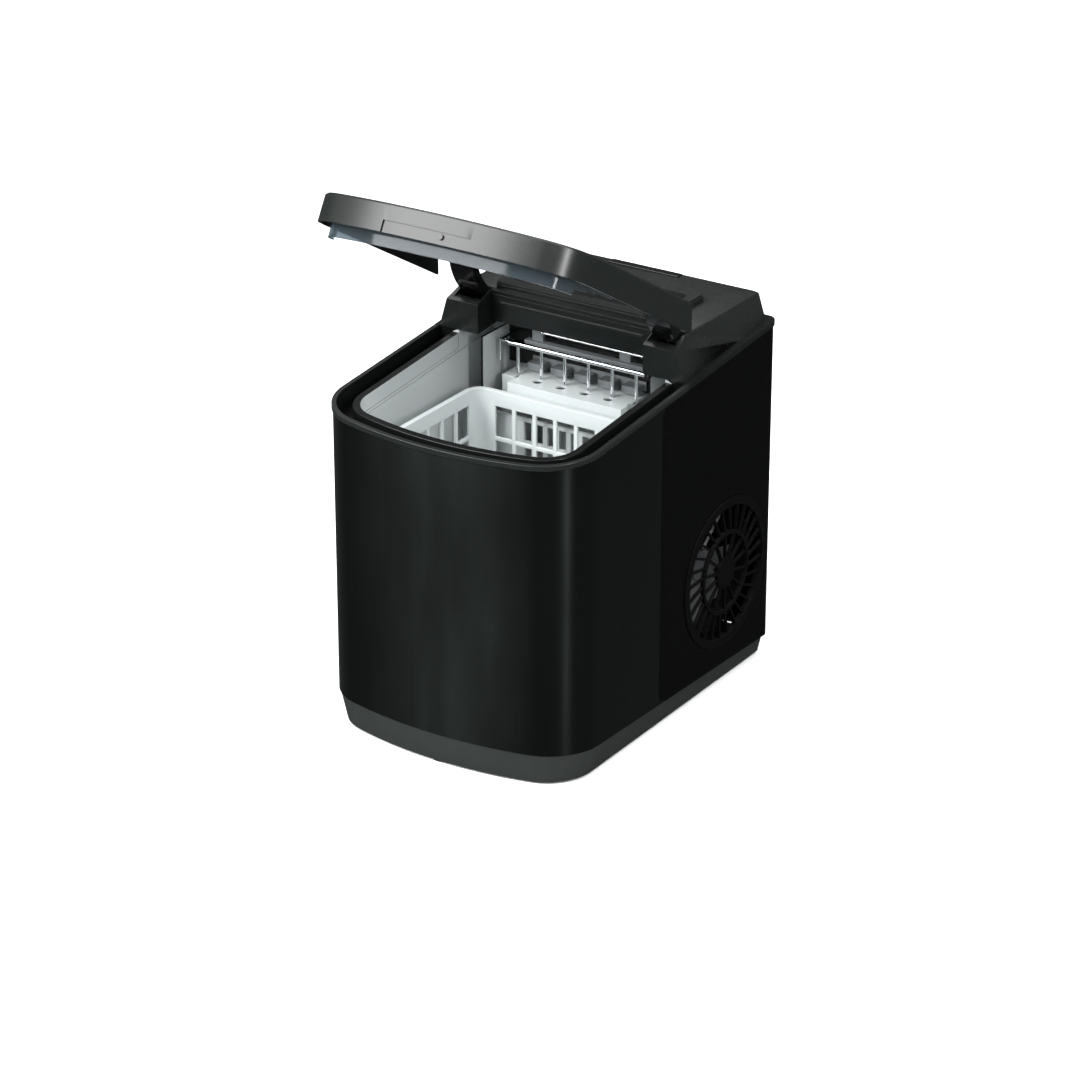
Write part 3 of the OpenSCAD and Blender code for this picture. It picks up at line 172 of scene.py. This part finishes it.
@dataclass
class ShaderKit:
    """The effects that several finishes share, each built once."""

    groups: dict = field(default_factory=dict)

    def build(self) -> "ShaderKit":
        self.groups = {
            "moulded_grain": self.moulded_grain(),
            "wipe_marks": self.wipe_marks(),
            "brushed_lines": self.brushed_lines(),
            "settled_dust": self.settled_dust(),
        }
        return self

    def moulded_grain(self) -> bpy.types.NodeTree:
        """Spark-eroded grain of a moulded face: a height and a slight tone."""
        t = new_group("moulded_grain", [("Scale", "NodeSocketFloat", 2200.0)],
                      [("Height", "NodeSocketFloat"), ("Tone", "NodeSocketFloat")])
        i, o = t.nodes["Group Input"], t.nodes["Group Output"]
        fine = noise(t, i.outputs["Scale"], (1, 1, 1), 3.0)
        coarse = noise(t, maths(t, "MULTIPLY", i.outputs["Scale"], 0.31), (1, 1, 1), 2.0)
        height = maths(t, "ADD", maths(t, "MULTIPLY", fine, 0.65),
                       maths(t, "MULTIPLY", coarse, 0.35))
        t.links.new(height, o.inputs["Height"])
        t.links.new(maths(t, "ADD", maths(t, "MULTIPLY", height, 0.24), 0.88), o.inputs["Tone"])
        return t

    def wipe_marks(self) -> bpy.types.NodeTree:
        """Faint cloudy marks of a wiped surface, in tone and in gloss."""
        t = new_group("wipe_marks",
                      [("Colour", "NodeSocketColor", (0.5, 0.5, 0.5, 1)),
                       ("Roughness", "NodeSocketFloat", 0.4), ("Amount", "NodeSocketFloat", 0.1)],
                      [("Colour", "NodeSocketColor"), ("Roughness", "NodeSocketFloat")])
        i, o = t.nodes["Group Input"], t.nodes["Group Output"]
        cloud = maths(t, "SUBTRACT", noise(t, 9.0, (1.0, 1.3, 0.55), 4.0), 0.5)
        streak = maths(t, "SUBTRACT", noise(t, 46.0, (1.0, 1.0, 0.18), 2.0), 0.5)
        both = maths(t, "ADD", cloud, maths(t, "MULTIPLY", streak, 0.5))
        swing = maths(t, "MULTIPLY", both, i.outputs["Amount"])
        t.links.new(tint(t, i.outputs["Colour"], maths(t, "ADD", swing, 1.0)), o.inputs["Colour"])
        rough = maths(t, "ADD", i.outputs["Roughness"], maths(t, "MULTIPLY", swing, 0.5))
        t.links.new(rough, o.inputs["Roughness"])
        return t

    def brushed_lines(self) -> bpy.types.NodeTree:
        """Fine upright lines of brushed metal."""
        t = new_group("brushed_lines", [("Scale", "NodeSocketFloat", 900.0)],
                      [("Height", "NodeSocketFloat"), ("Tone", "NodeSocketFloat")])
        i, o = t.nodes["Group Input"], t.nodes["Group Output"]
        lines = noise(t, i.outputs["Scale"], (1.0, 1.0, 0.012), 3.0)
        t.links.new(lines, o.inputs["Height"])
        t.links.new(maths(t, "ADD", maths(t, "MULTIPLY", lines, 0.3), 0.85), o.inputs["Tone"])
        return t

    def settled_dust(self) -> bpy.types.NodeTree:
        """A little pale dust on faces that look upwards."""
        t = new_group("settled_dust",
                      [("Colour", "NodeSocketColor", (0.5, 0.5, 0.5, 1)),
                       ("Amount", "NodeSocketFloat", 0.02)],
                      [("Colour", "NodeSocketColor"), ("Mask", "NodeSocketFloat")])
        i, o = t.nodes["Group Input"], t.nodes["Group Output"]
        geo = t.nodes.new("ShaderNodeNewGeometry")
        split = t.nodes.new("ShaderNodeSeparateXYZ")
        t.links.new(geo.outputs["Normal"], split.inputs[0])
        up = maths(t, "MAXIMUM", split.outputs["Z"], 0.0)
        fine, patches = noise(t, 330.0, (1, 1, 1), 5.0), noise(t, 14.0, (1, 1, 1), 3.0)
        specks = maths(t, "MULTIPLY", fine, patches)
        mask = maths(t, "MULTIPLY", maths(t, "MULTIPLY", up, specks), i.outputs["Amount"])
        mix = t.nodes.new("ShaderNodeMix")
        mix.data_type = "RGBA"
        t.links.new(mask, mix.inputs["Factor"])
        t.links.new(i.outputs["Colour"], mix.inputs[6])
        mix.inputs[7].default_value = DUST_COLOUR
        t.links.new(mix.outputs[2], o.inputs["Colour"])
        t.links.new(mask, o.inputs["Mask"])
        return t


@dataclass(frozen=True)
class Finish:
    """One material of the ice maker; the depth of its marks is in millimetres."""

    name: str
    colour: tuple
    rough: float = 0.4
    metallic: float = 0.0
    specular: float = 0.5
    coat: float = 0.0
    coat_rough: float = 0.05
    anisotropic: float = 0.0
    turn: float = 0.0
    clear: float = 0.0
    ior: float = 1.45
    marks: Marks = Marks.GRAIN
    scale: float = 2200.0
    depth: float = 0.02
    wipes: float = 0.12
    dust: float = 0.04
    glow: float = 0.0

    def build(self, kit: ShaderKit) -> bpy.types.Material:
        """Makes the material.

        Args:
            kit: The shared shader groups.

        Returns:
            The new material.
        """
        mat = bpy.data.materials.new(self.name)
        mat.use_nodes = True
        t = mat.node_tree
        shader = t.nodes["Principled BSDF"]
        shader.inputs["Metallic"].default_value = self.metallic
        shader.inputs["Specular IOR Level"].default_value = self.specular
        shader.inputs["IOR"].default_value = self.ior
        shader.inputs["Coat Weight"].default_value = self.coat
        shader.inputs["Coat Roughness"].default_value = self.coat_rough
        shader.inputs["Anisotropic"].default_value = self.anisotropic
        shader.inputs["Anisotropic Rotation"].default_value = self.turn
        shader.inputs["Transmission Weight"].default_value = self.clear
        if self.glow:
            shader.inputs["Emission Color"].default_value = (*self.colour, 1)
            shader.inputs["Emission Strength"].default_value = self.glow
        wipe = self.place(t, kit, "wipe_marks")
        wipe.inputs["Colour"].default_value = (*self.colour, 1)
        wipe.inputs["Roughness"].default_value = self.rough
        wipe.inputs["Amount"].default_value = self.wipes
        colour = wipe.outputs["Colour"]
        if self.marks is not Marks.NONE:
            name = "moulded_grain" if self.marks is Marks.GRAIN else "brushed_lines"
            marks = self.place(t, kit, name)
            marks.inputs["Scale"].default_value = self.scale
            colour = tint(t, colour, marks.outputs["Tone"])
            bump = t.nodes.new("ShaderNodeBump")
            bump.inputs["Strength"].default_value = 1.0
            bump.inputs["Distance"].default_value = self.depth * MM
            t.links.new(marks.outputs["Height"], bump.inputs["Height"])
            t.links.new(bump.outputs["Normal"], shader.inputs["Normal"])
        if self.dust:
            dust = self.place(t, kit, "settled_dust")
            dust.inputs["Amount"].default_value = self.dust
            t.links.new(colour, dust.inputs["Colour"])
            colour = dust.outputs["Colour"]
        t.links.new(colour, shader.inputs["Base Color"])
        t.links.new(wipe.outputs["Roughness"], shader.inputs["Roughness"])
        return mat

    @staticmethod
    def place(tree: bpy.types.NodeTree, kit: ShaderKit, name: str) -> bpy.types.Node:
        node = tree.nodes.new("ShaderNodeGroup")
        node.node_tree = kit.groups[name]
        return node


FINISHES = (
    Finish("wrap_black", (0.075, 0.088, 0.083), rough=0.2, metallic=1.0, anisotropic=0.95,
           turn=0.25, marks=Marks.BRUSHED, scale=700.0, depth=0.004, wipes=0.2, dust=0.0),
    Finish("shell_black", (0.0012, 0.0013, 0.0013), rough=0.2, specular=0.08, scale=1500.0,
           depth=0.004, dust=0.01),
    Finish("charcoal_satin", (0.007, 0.0088, 0.0082), rough=0.27, specular=0.5, depth=0.008),
    Finish("base_charcoal", (0.018, 0.021, 0.020), rough=0.4, specular=0.4, depth=0.012),
    Finish("gloss_black", (0.0025, 0.0028, 0.003), rough=0.1, specular=0.5, scale=800.0,
           depth=0.001, dust=0.02),
    Finish("groove_black", (0.004, 0.0045, 0.0045), rough=0.25, specular=0.35, depth=0.006,
           dust=0.02),
    Finish("grille_black", (0.0016, 0.0017, 0.0017), rough=0.34, specular=0.12, depth=0.012),
    Finish("foot_rubber", (0.012, 0.012, 0.012), rough=0.85, specular=0.2, scale=1400.0,
           depth=0.05),
    Finish("liner_grey", (0.50, 0.53, 0.53), rough=0.36, specular=0.4, depth=0.006, wipes=0.06,
           dust=0.0),
    Finish("basket_white", (0.62, 0.66, 0.66), rough=0.3, specular=0.5, depth=0.004, wipes=0.05,
           dust=0.0),
    Finish("foam_cream", (0.72, 0.66, 0.5), rough=0.95, specular=0.1, scale=600.0, depth=0.3,
           dust=0.0),
    Finish("window_smoke", (0.34, 0.40, 0.46), rough=0.03, clear=1.0, ior=1.2, marks=Marks.NONE,
           wipes=0.05, dust=0.0),
    Finish("skirt_smoke", (0.11, 0.14, 0.16), rough=0.08, clear=0.8, ior=1.3, marks=Marks.NONE,
           wipes=0.08, dust=0.0),
    Finish("bright_chrome", (0.72, 0.74, 0.75), rough=0.09, metallic=1.0, scale=500.0,
           depth=0.003, dust=0.0),
    Finish("zinc_plate", (0.52, 0.54, 0.55), rough=0.3, metallic=1.0, marks=Marks.BRUSHED,
           depth=0.004),
    Finish("comb_grey", (0.16, 0.175, 0.18), rough=0.4, depth=0.01),
    Finish("key_silver", (0.30, 0.32, 0.33), rough=0.3, metallic=0.6, scale=1200.0, depth=0.004),
    Finish("lamp_blue", (0.25, 0.5, 0.75), rough=0.15, glow=0.5, scale=900.0, depth=0.002),
    Finish("board_green", (0.02, 0.12, 0.05), rough=0.35, coat=0.4, scale=700.0, depth=0.02),
    Finish("pot_black", (0.01, 0.01, 0.011), rough=0.32, specular=0.5, coat=0.3, scale=600.0,
           depth=0.03, dust=0.3),
    Finish("fin_aluminium", (0.62, 0.63, 0.64), rough=0.35, metallic=1.0, marks=Marks.BRUSHED,
           depth=0.004, dust=0.2),
    Finish("pipe_copper", (0.72, 0.36, 0.2), rough=0.28, metallic=1.0, scale=500.0, depth=0.01,
           wipes=0.4),
    Finish("motor_grey", (0.045, 0.048, 0.05), rough=0.45, depth=0.02),
)


# ---------------------------------------------------------------- mesh helpers


def solid_copy(nodes: Iterable[str], seam_y: Optional[float] = None) -> bmesh.types.BMesh:
    """Copies CAD nodes into one clean mesh: doubles merged, flat triangles paired.

    Args:
        nodes: The CAD nodes.
        seam_y: Where given, faces on this plane are opened, so that the nodes join there.

    Returns:
        The merged mesh.
    """
    bm = bmesh.new()
    for n in nodes:
        bm.from_mesh(frame["nodes"][n].data)
    bmesh.ops.remove_doubles(bm, verts=bm.verts, dist=WELD)
    if seam_y is not None:
        flat = [f for f in bm.faces if all(abs(v.co.y - seam_y) < SEAM_WELD for v in f.verts)]
        bmesh.ops.delete(bm, geom=flat, context="FACES_ONLY")
        bmesh.ops.remove_doubles(bm, verts=bm.verts, dist=SEAM_WELD)
    bmesh.ops.join_triangles(bm, faces=bm.faces, angle_face_threshold=math.radians(FLAT_ANGLE),
                             angle_shape_threshold=math.radians(SHAPE_ANGLE), cmp_seam=False)
    return bm


def finish_mesh(bm: bmesh.types.BMesh, name: str, material: bpy.types.Material,
                crease: float = CREASE) -> bpy.types.Object:
    """Turns a bmesh into a piece with smooth faces and crisp edges.

    Args:
        bm: The mesh, which is freed.
        name: The piece's name.
        material: Its material.
        crease: Edges sharper than this angle, in degrees, stay crisp.

    Returns:
        The new object at the origin.
    """
    limit = math.radians(crease)
    for f in bm.faces:
        f.smooth = True
    for e in bm.edges:
        e.smooth = not (len(e.link_faces) == 2 and e.calc_face_angle(0.0) > limit)
    mesh = bpy.data.meshes.new(name)
    bm.to_mesh(mesh)
    bm.free()
    mesh.materials.append(material)
    piece = bpy.data.objects.new(name, mesh)
    bpy.context.scene.collection.objects.link(piece)
    return piece


def soften(piece: bpy.types.Object, width: float, segments: int = 2) -> None:
    """Rounds a piece's crisp edges.

    Args:
        piece: The piece.
        width: The edge radius in millimetres.
        segments: How many faces the round has.
    """
    mod = piece.modifiers.new("edge_round", "BEVEL")
    mod.width = width * MM
    mod.segments = segments
    mod.limit_method = "ANGLE"
    mod.angle_limit = math.radians(CREASE)
    mod.harden_normals = True
    mod.use_clamp_overlap = True
    mod.miter_outer = "MITER_ARC"


def dress(nodes: tuple, name: str, material: bpy.types.Material, width: float,
          seam_y: Optional[float] = None) -> bpy.types.Object:
    """Makes the seen piece that stands for one or more CAD nodes of one body.

    Args:
        nodes: The CAD nodes.
        name: The piece's name.
        material: Its material.
        width: The radius of its edges in millimetres.
        seam_y: Where given, the nodes join on this plane.

    Returns:
        The piece, riding on the nodes' body.
    """
    piece = finish_mesh(solid_copy(nodes, seam_y), name, material)
    if width:
        soften(piece, width)
    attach(piece, BODY_OF[nodes[0]])
    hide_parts(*nodes)
    log.info("piece %s stands for %s", name, ", ".join(nodes))
    return piece


def repaint(piece: bpy.types.Object, material: bpy.types.Material, centre: Vector,
            half: Vector, lean: float) -> None:
    """Gives the upright faces that look inwards, inside a region, a second material.

    Args:
        piece: The piece.
        material: The second material.
        centre: The region's centre.
        half: The region's half sizes.
        lean: The least share of a face's normal that points to the centre.
    """
    piece.data.materials.append(material)
    for f in piece.data.polygons:
        off = f.center - centre
        inside = all(abs(o) <= h for o, h in zip(off, half))
        flat = Vector((off.x, off.y, 0))
        if inside and abs(f.normal.z) < UPRIGHT and f.normal.dot(-flat.normalized()) > lean:
            f.material_index = 1


def islands(node: str) -> list:
    """Finds the separate solids of a CAD node.

    Args:
        node: The CAD node.

    Returns:
        The lowest and highest corner of each solid.
    """
    bm = bmesh.new()
    bm.from_mesh(frame["nodes"][node].data)
    bmesh.ops.remove_doubles(bm, verts=bm.verts, dist=WELD)
    left, out = set(bm.verts), []
    while left:
        stack, seen = [left.pop()], []
        while stack:
            v = stack.pop()
            seen.append(v.co.copy())
            for e in v.link_edges:
                w = e.other_vert(v)
                if w in left:
                    left.discard(w)
                    stack.append(w)
        out.append((Vector(map(min, *seen)), Vector(map(max, *seen))))
    bm.free()
    return out


def spun(bm: bmesh.types.BMesh, profile: Iterable[tuple], centre: Vector, axis: Vector,
         steps: int) -> None:
    """Spins a profile of (radius, height) points round an axis into a closed solid.

    Args:
        bm: The mesh to add to.
        profile: The points in millimetres, first and last on the axis or equal.
        centre: Where height and radius are zero.
        axis: The direction of growing height.
        steps: Faces round the axis.
    """
    turn = axis.normalized().to_track_quat("Z", "Y").to_matrix()
    verts = [bm.verts.new(centre + turn @ Vector((r * MM, 0, h * MM))) for r, h in profile]
    edges = [bm.edges.new((a, b)) for a, b in zip(verts, verts[1:])]
    bmesh.ops.spin(bm, geom=verts + edges, cent=centre, axis=axis, angle=math.tau, steps=steps,
                   use_merge=True, use_duplicate=False)
    bmesh.ops.remove_doubles(bm, verts=bm.verts, dist=SPIN_WELD)
    bmesh.ops.recalc_face_normals(bm, faces=bm.faces)


def wire_ring(radius: float, wire: float, flatness: float = 1.0) -> list:
    """Gives the closed profile of a thin round wire for spun().

    Args:
        radius: The ring's radius in millimetres.
        wire: The wire's radius in millimetres.
        flatness: The wire's height as a share of its width.

    Returns:
        The profile's (radius, height) points in millimetres.
    """
    angles = [k * math.tau / WIRE_SIDES for k in range(WIRE_SIDES + 1)]
    return [(radius + wire * math.cos(a), wire * flatness * math.sin(a)) for a in angles]


# ---------------------------------------------------------------- sub-assemblies


@dataclass
class Dressing:
    """CAD nodes that are seen, the finish of each and the radius of its edges."""

    finishes: dict
    made: dict = field(default_factory=dict)

    def wear(self, rows: Iterable[tuple]) -> None:
        """Dresses nodes.

        Args:
            rows: (node, piece name, finish name, edge radius in millimetres).
        """
        for node, name, finish, width in rows:
            self.made[node] = dress((node,), name, self.finishes[finish], width)


@dataclass
class Housing(Dressing):
    """Base pan, skins, rim, deck, grilles and feet; lengths are in millimetres.

    A screw head's profile is (share of its radius, height above the skin).
    """

    lip_wall: float = 4.0
    mouth_back: float = 20.0
    mouth_reach: tuple = (400.0, 200.0)
    mouth_lean: float = 0.3
    head_steps: int = 24
    head_profile: tuple = ((0, -1.0), (0.42, -1.0), (0.5, -0.25), (0.78, -0.4),
                           (1, -0.95), (1, -1.6), (0, -1.6))

    def build(self) -> None:
        """Dresses the housing's nodes."""
        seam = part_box("rear_shell")[0][1]
        dress(("side_panel_left", "side_panel_right", "rear_shell"), "wrapped_rear_skin",
              self.finishes["shell_black"], 0.25, seam)
        self.wear((
            ("front_wrap", "bowed_front_wrap", "wrap_black", 0.25),
            ("base_pan", "moulded_base_pan", "base_charcoal", 0.8),
            ("feet", "rubber_feet", "foot_rubber", 0.6),
            ("drain_cap", "drain_plug_knob", "base_charcoal", 0.4),
            ("top_deck", "deck_plate", "groove_black", 0.0),
            ("top_rim", "raised_rim", "charcoal_satin", 0.7),
            ("inner_lip", "mouth_lip", "groove_black", 0.5),
            ("fan_grille", "ringed_fan_grille", "grille_black", 0.35),
            ("intake_grille", "slatted_intake", "grille_black", 0.35),
            ("rear_vent", "slatted_rear_vent", "grille_black", 0.35),
            ("cord_gland", "gland_ring", "grille_black", 0.4),
            ("rear_strip", "rear_trim_strip", "gloss_black", 0.3),
        ))

    def pale_mouth(self) -> None:
        """Carries the liner's pale wall up the inside of the opening."""
        lo, hi = (Vector(c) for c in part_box("inner_lip"))
        deep, high = self.mouth_reach
        centre = Vector((0, (lo.y + hi.y) / 2 + self.mouth_back * MM, (lo.z + hi.z) / 2))
        half = Vector(((hi.x - lo.x) / 2 - self.lip_wall * MM, deep * MM, high * MM))
        for node in ("inner_lip", "top_deck"):
            repaint(self.made[node], self.finishes["liner_grey"], centre, half, self.mouth_lean)

    def details(self) -> None:
        """Adds the screw heads on the back."""
        bm = bmesh.new()
        for lo, hi in islands("shell_screws"):
            mid = (lo + hi) / 2
            r = (hi.x - lo.x) / 2 / MM
            head = [(r * share, height) for share, height in self.head_profile]
            spun(bm, head, Vector((mid.x, hi.y, mid.z)), Vector((0, 1, 0)), self.head_steps)
        piece = finish_mesh(bm, "socket_screw_heads", self.finishes["zinc_plate"])
        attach(piece, "body")
        log.info("piece %s", piece.name)


@dataclass
class Hood(Dressing):
    """The rear hood with its console, keys and lamps; lengths are in millimetres."""

    ring_wire: float = 0.45
    ring_gap: float = 1.3
    ring_flatness: float = 0.8
    ring_steps: int = 40

    def build(self) -> None:
        """Dresses the hood's nodes."""
        self.wear((
            ("rear_hood", "moulded_rear_hood", "charcoal_satin", 0.6),
            ("hood_fascia", "chamber_fascia", "charcoal_satin", 0.4),
            ("control_console", "raised_console", "charcoal_satin", 1.0),
            ("control_panel", "glossy_panel", "gloss_black", 0.3),
            ("power_button", "round_power_key", "key_silver", 0.3),
            ("select_button", "round_select_key", "key_silver", 0.3),
            ("indicator_lenses", "lamp_lenses", "lamp_blue", 0.15),
            ("hinge_guide_left", "left_arm_guide", "groove_black", 0.4),
            ("hinge_guide_right", "right_arm_guide", "groove_black", 0.4),
        ))

    def details(self) -> None:
        """Adds a fine bright ring round each key."""
        bm = bmesh.new()
        for node in ("power_button", "select_button"):
            lo, hi = (Vector(c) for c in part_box(node))
            mid, r = (lo + hi) / 2, (hi.x - lo.x) / 2 / MM + self.ring_gap
            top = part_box("control_panel")[1][2]
            ring = wire_ring(r, self.ring_wire, self.ring_flatness)
            spun(bm, ring, Vector((mid.x, mid.y, top)), Vector((0, 0, 1)), self.ring_steps)
        piece = finish_mesh(bm, "key_rings", self.finishes["key_silver"], RING_CREASE)
        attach(piece, "body")
        log.info("piece %s", piece.name)


@dataclass
class Lid(Dressing):
    """The tilting lid on its curved arms."""

    def build(self) -> None:
        """Dresses the lid's nodes."""
        self.wear((
            ("lid_frame", "moulded_lid", "charcoal_satin", 0.5),
            ("lid_window", "see_through_window", "window_smoke", 0.25),
            ("window_skirt", "clear_inner_skirt", "skirt_smoke", 0.25),
            ("lid_knob", "lid_grip", "gloss_black", 0.3),
            ("hinge_arms", "curved_lid_arms", "gloss_black", 0.5),
            ("arm_screws", "arm_screw_heads", "zinc_plate", 0.3),
        ))


@dataclass
class IceWorks(Dressing):
    """Tank, basket, fingers, tray and comb; lengths are in millimetres."""

    lining_wall: float = 6.0
    lining_play: float = 1.0
    sideways: float = 0.8

    def build(self) -> None:
        """Dresses the nodes that make, move and hold the ice."""
        self.wear((
            ("tank_liner", "tank_inner_wall", "liner_grey", 0.5),
            ("well_trough", "tray_well", "liner_grey", 0.4),
            ("ice_basket", "slotted_ice_basket", "basket_white", 0.5),
            ("sump_strainer", "strainer_disc", "zinc_plate", 0.2),
            ("evaporator", "freezing_fingers", "bright_chrome", 0.15),
            ("evaporator_block", "finger_block", "comb_grey", 0.4),
            ("probe_rod", "level_probe", "bright_chrome", 0.1),
            # the lining's faces other than its side walls stay near-black: painted shade for the
            # dark recess behind the freezing fingers
            ("chamber_lining", "ice_chamber_lining_painted_shade", "groove_black", 0.4),
            ("sensor_lenses", "sensor_windows", "comb_grey", 0.2),
            ("tray_bearings", "tray_cheeks", "liner_grey", 0.4),
            ("water_tray", "tipping_water_tray", "basket_white", 0.5),
            ("tray_motor", "tray_gearmotor", "comb_grey", 0.6),
            ("ice_shovel", "ice_comb", "comb_grey", 0.4),
        ))
        self.pale_cheeks()

    def pale_cheeks(self) -> None:
        """Gives the lining's two side walls the liner's pale finish; the rest of the lining keeps
        a near-black finish that is painted shade for the dark recess behind the fingers.
        """
        lo, hi = (Vector(c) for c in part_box("chamber_lining"))
        mid_x = (lo.x + hi.x) / 2
        reach = (hi.x - lo.x) / 2 + self.lining_play * MM - self.lining_wall * MM
        lining = self.made["chamber_lining"]
        lining.data.materials.append(self.finishes["liner_grey"])
        for f in lining.data.polygons:
            if abs(f.normal.x) > self.sideways and abs(f.center.x - mid_x) > reach:
                f.material_index = 1


@dataclass
class Machinery(Dressing):
    """Everything behind the grilles; lengths are in millimetres."""

    weld_wire: float = 1.3
    weld_sink: float = 0.2
    weld_height: float = 0.52
    weld_steps: int = 64

    def build(self) -> None:
        """Dresses the machinery's nodes."""
        self.wear((
            ("compressor", "compressor_pot", "pot_black", 0.8),
            ("compressor_mounts", "compressor_cushions", "foot_rubber", 0.5),
            ("condenser_fins", "finned_condenser", "fin_aluminium", 0.0),
            ("condenser_tube", "condenser_coil", "pipe_copper", 0.0),
            ("suction_line", "suction_pipe", "pipe_copper", 0.0),
            ("filter_drier", "drier_can", "pipe_copper", 0.3),
            ("fan_motor", "fan_drive_motor", "motor_grey", 0.5),
            ("fan_bracket", "fan_stay", "zinc_plate", 0.2),
            ("fan_rotor", "bladed_fan", "motor_grey", 0.3),
            ("fan_shroud", "fan_duct", "grille_black", 0.4),
            ("water_pump", "feed_pump", "motor_grey", 0.4),
            ("water_hose", "feed_hose", "liner_grey", 0.0),
            ("drain_tube", "drain_pipe", "liner_grey", 0.0),
            ("control_board", "panel_board", "board_green", 0.15),
            ("power_board", "supply_board", "board_green", 0.15),
            ("machine_plate", "pressed_machine_plate", "zinc_plate", 0.4),
            ("tank_foam", "foam_jacket", "foam_cream", 0.0),
            ("shell_screws", "shell_screw_shanks", "zinc_plate", 0.15),
        ))

    def details(self) -> None:
        """Adds the compressor's weld bead."""
        lo, hi = (Vector(c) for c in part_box("compressor"))
        mid = (lo + hi) / 2
        r = min(hi.x - lo.x, hi.y - lo.y) / 2 / MM
        bm = bmesh.new()
        bead = wire_ring(r - self.weld_sink, self.weld_wire)
        belt = Vector((mid.x, mid.y, lo.z + (hi.z - lo.z) * self.weld_height))
        spun(bm, bead, belt, Vector((0, 0, 1)), self.weld_steps)
        piece = finish_mesh(bm, "pot_weld_bead", self.finishes["pot_black"], RING_CREASE)
        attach(piece, "body")
        log.info("piece %s", piece.name)


# ---------------------------------------------------------------- studio


def bearing(azimuth: float, elevation: float) -> Vector:
    """Finds the direction that looks back from an azimuth and an elevation.

    Args:
        azimuth: Degrees round from the front, growing to the right.
        elevation: Degrees above the floor.

    Returns:
        The unit direction away from the machine.
    """
    a, e = math.radians(azimuth), math.radians(elevation)
    return Vector((math.sin(a) * math.cos(e), -math.cos(a) * math.cos(e), math.sin(e)))


@dataclass(frozen=True)
class Softbox:
    """One area light, aimed at the machine; angles in degrees, lengths in metres."""

    name: str
    azimuth: float
    elevation: float
    distance: float
    width: float
    height: float
    watts: float
    aim_height: float = 0.18

    def build(self) -> None:
        """Adds the light."""
        aim = Vector((0, 0, self.aim_height))
        place = aim + self.distance * bearing(self.azimuth, self.elevation)
        lamp = bpy.data.lights.new(self.name, "AREA")
        lamp.shape = "RECTANGLE"
        lamp.size, lamp.size_y, lamp.energy = self.width, self.height, self.watts
        holder = bpy.data.objects.new(self.name, lamp)
        turn = (place - aim).to_track_quat("Z", "Y").to_matrix().to_4x4()
        holder.matrix_world = Matrix.Translation(place) @ turn
        bpy.context.scene.collection.objects.link(holder)


@dataclass
class Studio:
    """Camera, floor, world and lights; angles in degrees, lengths in metres."""

    azimuth: float = 33.164
    elevation: float = 24.402
    eye: tuple = (1.5067, -2.3087, 1.3803)
    lens: float = 129.99
    sensor: float = 36.0
    floor_half: float = 9.0
    floor_colour: tuple = (0.93, 0.93, 0.93, 1)
    surround_colour: tuple = (0.97, 0.985, 1.0, 1)
    surround: float = 0.75
    glossy_drop: float = 0.68
    boxes: tuple = (
        Softbox("left_front_box", -33, 36, 2.4, 1.75, 1.7, 110),
        Softbox("right_strip_box", 68, 34, 2.4, 0.3, 1.6, 40),
        Softbox("overhead_box", 0, 86, 2.3, 4.2, 4.2, 110),
    )

    def build(self) -> None:
        """Builds the studio."""
        self.camera()
        self.floor()
        self.world()
        for box in self.boxes:
            box.build()

    def camera(self) -> None:
        """Adds the camera at the product view."""
        a = math.radians(self.azimuth)
        back = bearing(self.azimuth, self.elevation)
        right = Vector((math.cos(a), math.sin(a), 0))
        up = back.cross(right)
        turn = Matrix((right, up, back)).transposed().to_4x4()
        data = bpy.data.cameras.new("product_view")
        data.lens, data.sensor_width = self.lens, self.sensor
        cam = bpy.data.objects.new("product_view", data)
        cam.matrix_world = Matrix.Translation(Vector(self.eye)) @ turn
        bpy.context.scene.collection.objects.link(cam)
        bpy.context.scene.camera = cam

    def floor(self) -> None:
        """Adds the plain pale floor."""
        bm = bmesh.new()
        bmesh.ops.create_grid(bm, x_segments=1, y_segments=1, size=self.floor_half)
        mesh = bpy.data.meshes.new("studio_floor")
        bm.to_mesh(mesh)
        bm.free()
        mat = bpy.data.materials.new("floor_white")
        mat.use_nodes = True
        shader = mat.node_tree.nodes["Principled BSDF"]
        shader.inputs["Base Color"].default_value = self.floor_colour
        shader.inputs["Roughness"].default_value = 1.0
        shader.inputs["Specular IOR Level"].default_value = 0.0
        mesh.materials.append(mat)
        floor = bpy.data.objects.new("studio_floor", mesh)
        floor.visible_glossy = False
        bpy.context.scene.collection.objects.link(floor)

    def world(self) -> None:
        """Sets a soft, even surround."""
        world = bpy.data.worlds.new("soft_surround")
        world.use_nodes = True
        t = world.node_tree
        ground = t.nodes["Background"]
        ground.inputs["Color"].default_value = self.surround_colour
        path = t.nodes.new("ShaderNodeLightPath")
        drop = maths(t, "MULTIPLY", path.outputs["Is Glossy Ray"], self.glossy_drop)
        dim = maths(t, "SUBTRACT", self.surround, drop)
        t.links.new(dim, ground.inputs["Strength"])
        bpy.context.scene.world = world


def main() -> None:
    """Builds the ice maker's looks and the studio."""
    bpy.context.scene.view_settings.view_transform = "Standard"
    Studio().build()
    kit = ShaderKit().build()
    finishes = {f.name: f.build(kit) for f in FINISHES}
    housing, hood = Housing(finishes), Hood(finishes)
    machinery = Machinery(finishes)
    for part in (housing, hood, Lid(finishes), IceWorks(finishes), machinery):
        part.build()
    housing.pale_mouth()
    for part in (housing, hood, machinery):
        part.details()


if __name__ == "__main__":
    main()
